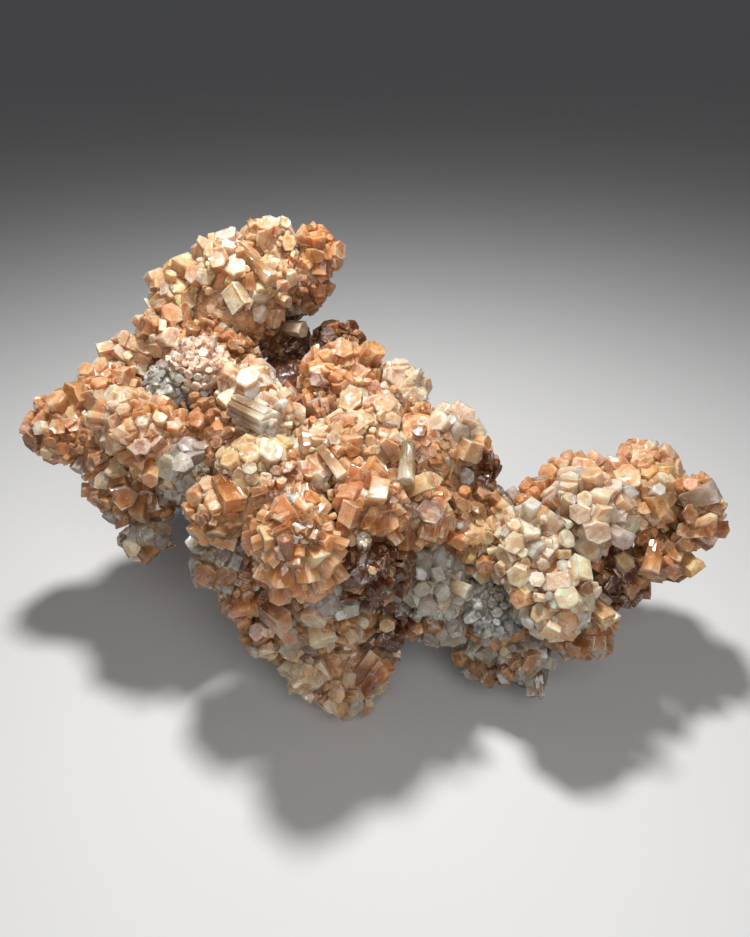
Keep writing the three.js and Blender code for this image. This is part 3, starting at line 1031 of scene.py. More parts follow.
SPRAY_SIZES = (
    SizeClass((3.6, 5.6), (0.84, 1.05), 170, 0.33),
    SizeClass((2.4, 3.6), (0.80, 1.03), 300, 0.33),
    SizeClass((1.5, 2.4), (0.76, 0.99), 280, 0.34),
    SizeClass((0.9, 1.5), (0.72, 0.93), 220, 0.38, habits=False),
)
CRUST_SIZES = (
    SizeClass((1.6, 2.4), (0.90, 1.02), 200, 0.42, habits=False),
    SizeClass((0.9, 1.5), (0.82, 0.96), 500, 0.42, habits=False),
)
LUMP_SIZES = (
    SizeClass((2.2, 3.6), (0.96, 1.08), 220, 0.37),
    SizeClass((1.2, 2.2), (0.90, 1.02), 500, 0.37),
)


@dataclass
class Growth:
    """Grows the crystals of the whole cluster, widest first in each group.

    Attributes:
        eye: Where the showpieces are seen from.
        spray_cover: An end on a spray is hidden inside this share of a neighbouring spray's reach.
        lump_cover: The same for an end on a lump of the trunk.
        trunk_cover: Any end is hidden inside this share of another lump's radius.
        touch: Furthest past a group's reach that another crystal may touch it.
        near: Furthest that two ends may lie from each other where one hides the other.
        end_depth: How far over another end an end still hides it.
        end_share: Share of a crystal's width inside which an end is hidden.
        sway: Most that a crystal leans from its spray's radius, in degrees.
        open_sway: Share of that in a group that lies open.
        sideways: Most that one axis takes of a lean, as a share.
        inward: Greatest length of a crystal, as a share of the way to the centre.
        slender: Greatest length in widths, to which the spare is added.
        spare: Length that is added to that.
        behind: How far behind its end a root lies, where that shows.
        past_root: How far a crystal goes past a root that shows.
        short_of_centre: How far it stays from the centre otherwise.
        hilly: How far a spray departs from a ball.
        hearts: How many points the crystals of a spray radiate from.
        heart_ring: How far those lie from the centre, as a share of the reach.
        heart_depth: How far out an open heart lies, as a share of the reach.
        heart_gap: Width of the open heart.
        habit_width: Least width of a crystal that shows its habit.
        lump_share: Share of earthy lumps on a brick-coloured crust.
        thin: Least thickness against width.
        least_height: Lowest that an end may come.
        twins: Share of the wide crystals that have narrower ones grown to their sides.
        twin_width: Least and greatest width of those, as a share of the crystal's.
        twin_aside: How far they stand to the side, in widths.
        twin_back: How far they end below it, in widths.
        twin_lean: Most that they lean away, in degrees.
        rods: How many rods ring the middle one of a bundle.
        rod_width: Width of a rod, in widths of the bundle.
        rod_aside: How far it stands from the middle, in the same.
        rod_back: Most that its end lies behind that of the bundle, in the same.
        rod_fan: How much the rods spread.
        stand_width: Width of the crystals that the cluster stands on.
        stand_ring: Radius of the ring in which they stand.
        crystals: What has grown.
    """

    eye: Eye
    spray_cover: float = 0.90
    lump_cover: float = 0.74
    trunk_cover: float = 0.92
    touch: float = 15.0
    near: float = 14.0
    end_depth: float = 0.3
    end_share: float = 0.40
    sway: float = 22.0
    open_sway: float = 0.4
    sideways: float = 0.7
    inward: float = 0.86
    slender: float = 3.2
    spare: float = 2.0
    behind: float = 3.0
    past_root: float = 1.0
    short_of_centre: float = 0.5
    hilly: float = 0.15
    hearts: int = 5
    heart_ring: float = 0.46
    heart_depth: float = 0.86
    heart_gap: float = 1.2
    habit_width: float = 2.0
    lump_share: float = 0.12
    thin: float = 0.78
    least_height: float = 1.0
    twins: float = 0.45
    twin_width: tuple[float, float] = (0.35, 0.62)
    twin_aside: tuple[float, float] = (0.34, 0.50)
    twin_back: tuple[float, float] = (0.08, 0.55)
    twin_lean: float = 7.0
    rods: int = 6
    rod_width: float = 0.44
    rod_aside: float = 0.32
    rod_back: float = 0.3
    rod_fan: float = 0.06
    stand_width: float = 3.6
    stand_ring: float = 1.9
    crystals: list[Crystal] = field(default_factory=list)

    def __post_init__(self) -> None:
        """Gets the random source and the tables ready."""
        self.rng = np.random.default_rng(SEED)
        self.centres = np.array([group.centre for group in GROUPS.values()])
        self.reaches = np.array([group.reach for group in GROUPS.values()])
        self.lumps = np.array([group.lump for group in GROUPS.values()])
        self.hidden = self.reaches
        self.keep([])

    def keep(self, crystals: list[Crystal]) -> None:
        """Keeps the places and sizes of some crystals at hand.

        Args:
            crystals: The crystals.
        """
        self.ends = np.array([item.end for item in crystals]).reshape(-1, 3)
        self.axes = np.array([item.axis for item in crystals]).reshape(-1, 3)
        self.sizes = np.array([(item.width, item.length) for item in crystals]).reshape(-1, 2)

    def add(self, crystal: Crystal) -> None:
        """Adds a crystal, also to those at hand.

        Args:
            crystal: The crystal.
        """
        self.crystals.append(crystal)
        self.ends = np.vstack((self.ends, crystal.end))
        self.axes = np.vstack((self.axes, crystal.axis))
        self.sizes = np.vstack((self.sizes, (crystal.width, crystal.length)))

    def has_room(self, end: Vec, axis: Vec, width: float, length: float, apart: float) -> bool:
        """Whether a crystal fits among those at hand.

        Args:
            end: Middle of its end.
            axis: Its direction.
            width: Its width.
            length: Its length.
            apart: Least distance between two ends, as a share of their widths.

        Returns:
            True if it neither hides an end nor is hidden.
        """
        offset = self.ends - end
        gap = np.linalg.norm(offset, axis=1)
        near = gap < self.near
        if not near.any():
            return True
        offset, gap, axes, sizes = offset[near], gap[near], self.axes[near], self.sizes[near]
        if (gap < apart * (sizes[:, 0] + width)).any():
            return False
        over_other = -np.einsum("ij,ij->i", offset, axes)  # height of this end over each other end
        if self.inside(over_other, gap, sizes[:, 0], sizes[:, 1]):
            return False
        return not self.inside(offset @ axis, gap, width, length)

    def inside(self, over: Vec, gap: Vec, width: Vec | float, length: Vec | float) -> bool:
        """Whether any end lies inside a crystal.

        Args:
            over: Heights of the ends over the crystals' ends.
            gap: Distances between them.
            width: Widths of the crystals.
            length: Their lengths.

        Returns:
            True if one does.
        """
        across = np.sqrt(np.maximum(gap**2 - over**2, 0.0))
        return bool(((over < self.end_depth) & (over > -length) & (across < self.end_share * width)).any())

    def pick(self, shares: dict[Option, float]) -> Option:
        """One of the options, by their shares."""
        weights = np.array(list(shares.values()))
        return list(shares)[int(self.rng.choice(len(shares), p=weights / weights.sum()))]

    def directions(self, count: int) -> Vec:
        """Evenly spread directions in random order, turned at random.

        Args:
            count: How many.

        Returns:
            Unit vectors, one row each.
        """
        number = np.arange(count) + 0.5
        height = 1.0 - 2.0 * number / count
        around = number * math.pi * (3.0 - math.sqrt(5.0)) + self.rng.uniform(0.0, math.tau)
        ring = np.sqrt(1.0 - height**2)
        spread = np.column_stack((ring * np.cos(around), ring * np.sin(around), height))
        angle = self.rng.uniform(0.0, math.tau)
        turn = Matrix.Rotation(angle, 3, Vector(self.rng.normal(size=3)).normalized())
        spread = spread @ np.array(turn)
        self.rng.shuffle(spread)
        return spread

    def lean(self, axis: Vec, degrees: float) -> Vec:
        """A direction up to some degrees off another."""
        aside = self.rng.uniform(-self.sideways, self.sideways, 3)
        return unit(axis + math.tan(math.radians(degrees)) * aside)

    def set_showpieces(self) -> None:
        """Places the crystals that are known one by one."""
        for piece in SHOWPIECES:
            spray = GROUPS[piece.spray]
            end = self.eye.on_ball(piece.end, spray.centre, spray.reach * piece.stand)
            foot, past = spray.centre, -self.short_of_centre
            if piece.root:
                foot, past = self.eye.at(piece.root, self.eye.forward(end) + self.behind), self.past_root
            axis = unit(end - foot)
            length = max(float(np.linalg.norm(end - foot)) + past, piece.width)
            habit = piece.habit or self.pick(HABIT_SHARES)
            crystal = Crystal(spray.lobe, piece.spray, habit, piece.tone, end, axis, piece.width, length)
            log.debug("%s at %s", piece.name, end.round(1))
            if habit is Habit.FLUTED:
                self.add_bundle(crystal)
            else:
                self.add(crystal)

    def add_bundle(self, whole: Crystal) -> None:
        """Adds a bundle of thin rods.

        Args:
            whole: The crystal that the rods make up.
        """
        side = unit(np.cross(whole.axis, (0.3, 0.5, 0.8)))
        other = np.cross(whole.axis, side)
        for number in range(self.rods + 1):
            turn = math.tau * number / self.rods
            spread = 0.0 if number == self.rods else whole.width * self.rod_aside
            end = whole.end + spread * (math.cos(turn) * side + math.sin(turn) * other)
            end = end - whole.axis * self.rng.uniform(0.0, self.rod_back) * whole.width
            axis = unit(whole.axis + self.rod_fan * (end - whole.end) / whole.width)
            width = whole.width * self.rod_width
            self.add(replace(whole, habit=Habit.STEPPED, end=end, axis=axis, width=width))

    def set_standing(self) -> None:
        """Places the crystals that the cluster stands on, three to a foot."""
        down = np.array((0.0, 0.0, -1.0))
        for lobe, tone, (x, y), height in STANDING:
            for number in range(3):
                turn = math.tau * (number / 3.0 + 0.1)
                aside = self.stand_ring * math.cos(turn), self.stand_ring * math.sin(turn)
                end = np.array((x + aside[0], y + aside[1], 0.0))
                self.add(Crystal(lobe, STAND, Habit.GRAIN, tone, end, down, self.stand_width, height))

    def add_twins(self, crystal: Crystal) -> None:
        """Grows one to three narrower crystals to the sides of a crystal.

        Args:
            crystal: The crystal.
        """
        for _ in range(int(self.rng.integers(1, 4))):
            side = unit(np.cross(crystal.axis, self.rng.normal(size=3)))
            share = self.rng.uniform(*self.twin_width)
            end = crystal.end + side * crystal.width * self.rng.uniform(*self.twin_aside)
            end = end - crystal.axis * crystal.width * self.rng.uniform(*self.twin_back)
            if end[2] >= self.least_height:
                axis = self.lean(crystal.axis, self.twin_lean)
                habit = self.pick(HABIT_SHARES)
                width = crystal.width * share
                self.add(replace(crystal, habit=habit, end=end, axis=axis, width=width, flat=1.0))

    def look_near(self, number: int, group: Group) -> None:
        """Keeps at hand what the crystals of a group may touch, and how far in each other group hides them.

        Args:
            number: Number of the group.
            group: The group.
        """
        far = group.reach + self.touch
        self.keep([item for item in self.crystals if np.linalg.norm(item.end - group.centre) < far])
        cover = self.lump_cover if group.lump else self.spray_cover
        self.hidden = np.where(self.lumps, self.trunk_cover, cover) * self.reaches
        self.hidden[number] = 0.0

    def hearts_of(self, group: Group) -> Vec:
        """Spreads the points that the crystals of a group radiate from.

        Args:
            group: The group.

        Returns:
            The points, one row each.
        """
        hearts = group.centre[None, :]
        if not (group.lump or group.rough):
            hearts = group.centre + self.heart_ring * group.reach * self.directions(self.hearts)
        if group.heart:
            hearts = self.eye.on_ball(group.heart, group.centre, self.heart_depth * group.reach)[None, :]
        return hearts

    def try_one(
        self, group: Group, size: SizeClass, end: Vec, heart: Vec, width: float, stand: float
    ) -> None:
        """Grows a crystal where there is room for it.

        Args:
            group: Its group.
            size: Its size class.
            end: Middle of its end.
            heart: Where it points away from.
            width: Its width.
            stand: Distance of its end from the centre of the group.
        """
        open_room = float(np.linalg.norm(end - heart))
        if group.heart and open_room < self.heart_gap:
            return
        axis = self.lean(unit(end - heart), self.sway * (self.open_sway if group.heart else 1.0))
        length = min(self.inward * stand, self.slender * width + self.spare)
        if group.heart:
            length = max(open_room - 0.3, 0.8 * width)
        if not self.has_room(end, axis, width, length, size.apart):
            return
        shows = size.habits and width > self.habit_width
        if group.tone is Tone.BRICK and self.rng.random() < self.lump_share:
            habit = Habit.LUMP
        else:
            habit = self.pick(HABIT_SHARES) if shows else Habit.GRAIN
        flat = self.rng.uniform(self.thin, 1.0)
        tone = self.pick(MIXES[group.tone])
        crystal = Crystal(group.lobe, group.name, habit, tone, end, axis, width, length, flat)
        self.add(crystal)
        if shows and self.rng.random() < self.twins:
            self.add_twins(crystal)

    def is_hidden(self, end: Vec) -> bool:
        """Whether another group hides a place, or it lies too low."""
        apart = np.linalg.norm(self.centres - end, axis=1)
        return bool(end[2] < self.least_height or (apart < self.hidden).any())

    def fill(self, number: int, group: Group) -> None:
        """Grows the usual crystals of one spray or lump.

        Args:
            number: Number of the group.
            group: The group.
        """
        self.look_near(number, group)
        sizes = CRUST_SIZES if group.rough else LUMP_SIZES if group.lump else SPRAY_SIZES
        hills = self.rng.normal(size=(3, 3)) * self.hilly
        hearts = self.hearts_of(group)
        for size in sizes:
            for direction in self.directions(size.tries):
                width = self.rng.uniform(*size.widths)
                stand = group.reach * self.rng.uniform(*size.stands)
                stand *= 1.0 + float(np.tanh(hills @ direction).sum()) / 3.0
                end = group.centre + direction * stand
                if self.is_hidden(end):
                    continue
                heart = hearts[int(np.argmin(np.linalg.norm(hearts - end, axis=1)))]
                self.try_one(group, size, end, heart, width, stand)

    def grow(self) -> list[Crystal]:
        """Grows everything.

        Returns:
            The crystals.
        """
        self.set_showpieces()
        self.set_standing()
        for number, group in enumerate(GROUPS.values()):
            self.fill(number, group)
        on_lumps = sum(item.group in GROUPS and GROUPS[item.group].lump for item in self.crystals)
        log.info("%d crystals on sprays, %d on the trunk", len(self.crystals) - on_lumps, on_lumps)
        return self.crystals


# ---- Lobes -------------------------------------------------------------------------------------------------


class Row(NamedTuple):
    """What one crystal or mass gives to the skin over it.

    Attributes:
        end: Place of its end, in the frame of the lists.
        sides: Unit vectors across, across and along.
        half: Half of its width.
        deep: Colour of its heart.
        rim: Colour of its rim.
        chance: Two random shares.
        finish: Name of its material.
    """

    end: Vec
    sides: Vec
    half: float
    deep: Vec
    rim: Vec
    chance: Vec
    finish: str


@dataclass
class LobePiece:
    """One lobe: its trunk, the sprays on it and the closed skin that joins them.

    Attributes:
        lobe: Which lobe it is.
        forms: Shape of each habit.
        rng: Random source.
        table: A row for each of its crystals and masses.
        core_share: Radius of the mass in a spray, as a share of its reach.
        crust_share: The same in a crust.
        trunk_share: Radius of a lump's mass, as a share of its own.
        uneven: Most that a crystal's outline departs from a true hexagon, as a share.
        tilt: Most that its end slopes.
        stout: Least length of a crystal against its width.
        lowest: Lowest that a crystal may come, unless the cluster stands on it.
        mass_lowest: Lowest that a mass may come.
        bumps: How far the surface of a mass is uneven.
        waves: How many waves make up the relief of a crust.
        relief: Height of those, as a share of the radius.
        warm: Most that green and blue depart from a tone, as shares.
    """

    lobe: Lobe
    forms: dict[Habit, Form]
    rng: np.random.Generator
    table: list[Row] = field(default_factory=list)
    core_share: float = 0.66
    crust_share: float = 0.84
    trunk_share: float = 0.86
    uneven: float = 0.15
    tilt: float = 0.13
    stout: float = 0.75
    lowest: float = 0.25
    mass_lowest: float = 0.6
    bumps: float = 0.035
    waves: int = 24
    relief: float = 0.035
    warm: tuple[float, float] = (0.04, 0.08)

    def enter(self, end: Vec, sides: Vec, half: float, tone: Tone) -> int:
        """Adds a row to the table.

        Args:
            end: Place of the end.
            sides: Unit vectors across, across and along.
            half: Half of the width.
            tone: The colour family.

        Returns:
            The row's number.
        """
        hue = HUES[tone]
        bright = 1.0 + hue.spread * self.rng.uniform(-1.0, 1.0)
        warm = np.array((1.0, *(1.0 + self.rng.uniform(-most, most) for most in self.warm)))
        deep = np.clip(np.array(hue.deep) * bright * warm, 0.0, 0.95)
        rim = np.clip(np.array(hue.rim) * bright * warm, 0.0, 0.97)
        self.table.append(Row(end, sides, half, deep, rim, self.rng.random(2), hue.finish))
        return len(self.table) - 1

    def solid(
        self, name: str, points: Vec, faces: Iterable[tuple[int, ...]], number: int
    ) -> bpy.types.Object:
        """Makes a closed mesh whose faces carry a row's number.

        Args:
            name: Name of the object.
            points: Vertex places in the frame of the lists.
            faces: Vertex numbers of each face.
            number: The row's number.

        Returns:
            The object, not yet in the scene.
        """
        mesh = bpy.data.meshes.new(name)
        mesh.from_pydata(to_scene(points).tolist(), [], faces)
        mark = mesh.attributes.new("crystal", "INT", "FACE")
        mark.data.foreach_set("value", np.full(len(mesh.polygons), number, dtype=np.int32))
        return bpy.data.objects.new(name, mesh)

    def crystal(self, crystal: Crystal) -> bpy.types.Object:
        """Makes one crystal at its place.

        Args:
            crystal: The crystal.

        Returns:
            Its object, not yet in the scene.
        """
        form = self.forms[crystal.habit]
        points = form.points.copy()
        around = np.arctan2(points[:, 1], points[:, 0])
        spread = self.rng.uniform(0.0, self.uneven, 2)
        turn = self.rng.uniform(0.0, math.tau, 2)
        swell = 1.0 + spread[0] * np.cos(2 * around + turn[0])
        swell += 0.6 * spread[1] * np.cos(3 * around + turn[1])
        points[:, :2] *= swell[:, None]
        slope = self.rng.uniform(-self.tilt, self.tilt, 2)
        points[:, 2] += np.where(form.foot, 0.0, points[:, :2] @ slope)
        points *= crystal.width
        points[:, 1] *= crystal.flat
        points[form.foot, 2] = -max(crystal.length, self.stout * crystal.width)
        side = unit(np.cross(crystal.axis, self.rng.normal(size=3)))
        sides = np.array((side, np.cross(crystal.axis, side), crystal.axis))
        points = crystal.end + points @ sides
        points[:, 2] = np.maximum(points[:, 2], 0.0 if crystal.group == STAND else self.lowest)
        number = self.enter(crystal.end, sides, crystal.width / 2, crystal.tone)
        return self.solid(crystal.group, points, form.faces, number)

    def mass(self, group: Group) -> bpy.types.Object:
        """Makes the rounded, uneven mass that a group grows on.

        Args:
            group: The spray or lump.

        Returns:
            Its object, not yet in the scene.
        """
        radius = group.reach * self.trunk_share
        if not group.lump:
            share = self.crust_share if group.rough else self.core_share
            radius = min(share * group.reach, group.centre[2] - 1.0)
        clear_selection()
        bpy.ops.mesh.primitive_ico_sphere_add(subdivisions=5 if group.rough else 3, radius=1.0)
        bpy.ops.object.mode_set(mode="EDIT")
        bpy.ops.mesh.select_all(action="SELECT")
        bpy.ops.transform.vertex_random(offset=self.bumps, uniform=0.0, seed=int(self.rng.integers(1, 9999)))
        bpy.ops.object.mode_set(mode="OBJECT")
        shape = bpy.context.object
        points = read(shape.data.vertices, "co", 3)
        if group.rough:
            waves = self.rng.normal(size=(3, self.waves)) * self.rng.uniform(3.0, 11.0, self.waves)
            height = np.sin(points @ waves + self.rng.uniform(0.0, math.tau, self.waves)).sum(axis=1)
            points *= 1.0 + self.relief * np.maximum(height, -2.0)[:, None]
        points = points * radius + group.centre
        faces = [tuple(face.vertices) for face in shape.data.polygons]
        bpy.data.objects.remove(shape)
        points[:, 2] = np.maximum(points[:, 2], self.mass_lowest)
        number = self.enter(group.centre, np.eye(3), radius, ROOTS.get(group.tone, Tone.ROOT))
        return self.solid(group.name, points, faces, number)

    def join(self, name: str, parts: list[bpy.types.Object]) -> bpy.types.Object:
        """Joins closed meshes into one closed skin.

        Args:
            name: Name of the result.
            parts: The meshes. All but the first are deleted.

        Returns:
            The first, now the whole.
        """
        base = parts[0]
        base.name = name
        bpy.context.scene.collection.objects.link(base)
        if len(parts) == 1:
            return base
        others = bpy.data.collections.new("others")
        bpy.context.scene.collection.children.link(others)
        for part in parts[1:]:
            others.objects.link(part)
        union = base.modifiers.new("join", "BOOLEAN")
        union.operation = "UNION"
        union.solver = "MANIFOLD"
        union.operand_type = "COLLECTION"
        union.collection = others
        clear_selection()
        bpy.context.view_layer.objects.active = base
        base.select_set(True)
        bpy.ops.object.modifier_apply(modifier=union.name)
        for part in parts[1:]:
            mesh = part.data
            bpy.data.objects.remove(part)
            bpy.data.meshes.remove(mesh)
        bpy.data.collections.remove(others)
        return base

    def build(self, crystals: list[Crystal]) -> bpy.types.Object:
        """Builds the lobe.

        Args:
            crystals: The crystals of the whole cluster.

        Returns:
            The lobe's one mesh.
        """
        own = [group for group in GROUPS.values() if group.lobe is self.lobe]
        parts = {group.name: [self.mass(group)] for group in own} | {STAND: []}
        for crystal in crystals:
            if crystal.lobe is self.lobe:
                parts[crystal.group].append(self.crystal(crystal))
        joined = [self.join(name, pieces) for name, pieces in parts.items() if pieces]
        for part in joined:
            bpy.context.scene.collection.objects.unlink(part)
        whole = self.join(self.lobe.value, joined)
        whole.data.name = self.lobe.value
        return whole

    def column(self, name: str) -> Vec:
        """One column of the table."""
        return np.array([getattr(row, name) for row in self.table])

    def paint(self, piece: bpy.types.Object, finishes: dict[str, bpy.types.Material]) -> None:
        """Gives every face its material, and every corner its colours and its place in its crystal.

        Args:
            piece: The lobe's mesh.
            finishes: Materials by name.
        """
        mesh = piece.data
        numbers = read(mesh.attributes["crystal"].data, "value")
        rows = np.repeat(numbers, read(mesh.polygons, "loop_total"))
        places = read(mesh.vertices, "co", 3)[read(mesh.loops, "vertex_index")] / MM + FOOTPRINT_MIDDLE
        local = np.einsum("nij,nj->ni", self.column("sides")[rows], places - self.column("end")[rows])
        ones = np.ones(len(rows))
        self.write(mesh, "grain", "FLOAT_VECTOR", "vector", local)
        growth = np.column_stack((self.column("half")[rows], self.column("chance")[rows], ones))
        self.write(mesh, "growth", "FLOAT_COLOR", "color", growth)
        for name in ("deep", "rim"):
            self.write(mesh, name, "FLOAT_COLOR", "color", np.column_stack((self.column(name)[rows], ones)))
        mesh.materials.clear()
        for material in finishes.values():
            mesh.materials.append(material)
        order = {name: place for place, name in enumerate(finishes)}
        slots = np.array([order[row.finish] for row in self.table], dtype=np.int32)[numbers]
        mesh.polygons.foreach_set("material_index", slots)
        mesh.attributes.remove(mesh.attributes["crystal"])
        mesh.polygons.foreach_set("use_smooth", np.zeros(len(mesh.polygons), dtype=bool))
        mesh.update()

    @staticmethod
    def write(mesh: bpy.types.Mesh, name: str, kind: str, slot: str, values: Vec) -> None:
        """Writes an attribute on the corners of a mesh."""
        attribute = mesh.attributes.new(name, kind, "CORNER")
        attribute.data.foreach_set(slot, np.ascontiguousarray(values, dtype=np.float32).ravel())


# ---- Finishes ----------------------------------------------------------------------------------------------


@dataclass(frozen=True)
class Finish:
    """How the surface of one kind of crystal takes the light.

    Attributes:
        name: What it is called.
        glow: Share of light that scatters inside.
        depth: How far it scatters, in millimetres of red, green and blue.
        pass_through: Share of light that goes through.
        rough: Least and greatest roughness.
        streaks: Strength of the lines along a crystal.
        clouds: How much the colour clouds.
        refraction: Index of refraction.
        broken: How much the little facets of a face tilt.
        crumb: Strength of the fine grain.
    """

    name: str
    glow: float
    depth: Colour
    pass_through: float
    rough: tuple[float, float]
    streaks: float
    clouds: float
    refraction: float = 1.6
    broken: float = 0.4
    crumb: float = 0.0


FINISHES = (
    Finish("honey", 1.0, (1.5, 1.0, 0.6), 0.45, (0.02, 0.14), 0.8, 0.8),
    Finish("milk", 1.0, (1.9, 1.5, 1.1), 0.38, (0.04, 0.18), 0.8, 0.6),
    Finish("clear", 1.0, (2.2, 1.9, 1.6), 0.58, (0.02, 0.10), 0.8, 0.7),
    Finish("druse", 0.45, (0.7, 0.5, 0.4), 0.0, (0.25, 0.55), 0.25, 1.0, 1.55, 0.22, 0.8),
)
FROST_AND_PAINTED_GLINT = (0.95, 0.90, 0.83, 1.0)  # fine broken edges and dusting, and the white of the painted glints
CORE_SHADE = (0.55, 0.38, 0.27, 1.0)  # what the middle of an end is multiplied by
CRACK_SHADE = (0.62, 0.44, 0.32, 1.0)  # what the shadow beside a crack is multiplied by
PALE_CRUMB = (1.3, 1.3, 1.3, 1.0)  # what the rim's colour is multiplied by for a pale crumb
DARK_CRUMB = (0.16, 0.10, 0.075, 1.0)
HALF_FLAT = 0.866  # half the distance between two flats of a hexagon, against its radius


class Recipe:
    """Node tree of one material."""

    def __init__(self, name: str) -> None:
        """Starts a tree with a surface shader.

        Args:
            name: Name of the material.
        """
        self.material = bpy.data.materials.new(name)
        self.material.use_nodes = True
        self.tree = self.material.node_tree
        self.tree.nodes.clear()
        output = self.tree.nodes.new("ShaderNodeOutputMaterial")
        self.shader = self.tree.nodes.new("ShaderNodeBsdfPrincipled")
        self.tree.links.new(self.shader.outputs[0], output.inputs["Surface"])

    def node(
        self, kind: str, inputs: dict[str | int, object] | None = None, **settings: object
    ) -> bpy.types.Node:
        """Adds a node.

        Args:
            kind: Its type, without ShaderNode in front.
            inputs: Values or sockets for its inputs.
            **settings: Its own settings.

        Returns:
            The node.
        """
        node = self.tree.nodes.new("ShaderNode" + kind)
        for name, value in settings.items():
            setattr(node, name, value)
        for name, value in (inputs or {}).items():
            self.feed(node.inputs[name], value)
        return node

    def feed(self, socket: Socket, value: object) -> None:
        """Gives a socket its value.

        Args:
            socket: The socket.
            value: A value, or another socket that it is linked to.
        """
        if isinstance(value, Socket):
            self.tree.links.new(value, socket)
        else:
            socket.default_value = value

    def sum(self, operation: str, *values: object, clamp: bool = False) -> Socket:
        """A Math node's result."""
        return self.node("Math", dict(enumerate(values)), operation=operation, use_clamp=clamp).outputs[0]

    def times(self, first: object, second: object) -> Socket:
        """The product of two values."""
        return self.sum("MULTIPLY", first, second)

    def less(self, value: object) -> Socket:
        """One less a value."""
        return self.sum("SUBTRACT", 1.0, value)

    def vector(self, operation: str, *values: object) -> Socket:
        """A Vector Math node's result."""
        return self.node("VectorMath", dict(enumerate(values)), operation=operation).outputs[0]

    def ease(self, value: object, low: float, high: float) -> Socket:
        """0 below low, 1 above high and smooth between them."""
        return self.node("MapRange", {0: value, 1: low, 2: high}, interpolation_type="SMOOTHSTEP").outputs[0]

    def ramp(self, value: object, low: float, high: float, first: float, last: float) -> Socket:
        """First at low, last at high and straight between them."""
        return self.node("MapRange", {0: value, 1: low, 2: high, 3: first, 4: last}).outputs[0]

    def blend(self, share: object, first: object, second: object, how: str = "MIX") -> Socket:
        """Mixes two colours.

        Args:
            share: Share of the second.
            first: The first.
            second: The second.
            how: The way of mixing.

        Returns:
            The mixed colour.
        """
        inputs = {0: share, 6: first, 7: second}
        return self.node("Mix", inputs, data_type="RGBA", blend_type=how, clamp_factor=True).outputs[2]

    def noise(self, place: Socket, scale: float, detail: float = 2.0, output: str | int = 0) -> Socket:
        """A noise texture's value or colour."""
        return self.node("TexNoise", {"Vector": place, "Scale": scale, "Detail": detail}).outputs[output]

    def cells(self, place: Socket, scale: float, output: str = "Color", **settings: object) -> Socket:
        """A Voronoi texture's colour or distance."""
        return self.node("TexVoronoi", {"Vector": place, "Scale": scale}, **settings).outputs[output]

    def place(self) -> Socket:
        """The place in the piece, in metres."""
        return self.node("TexCoord").outputs["Object"]


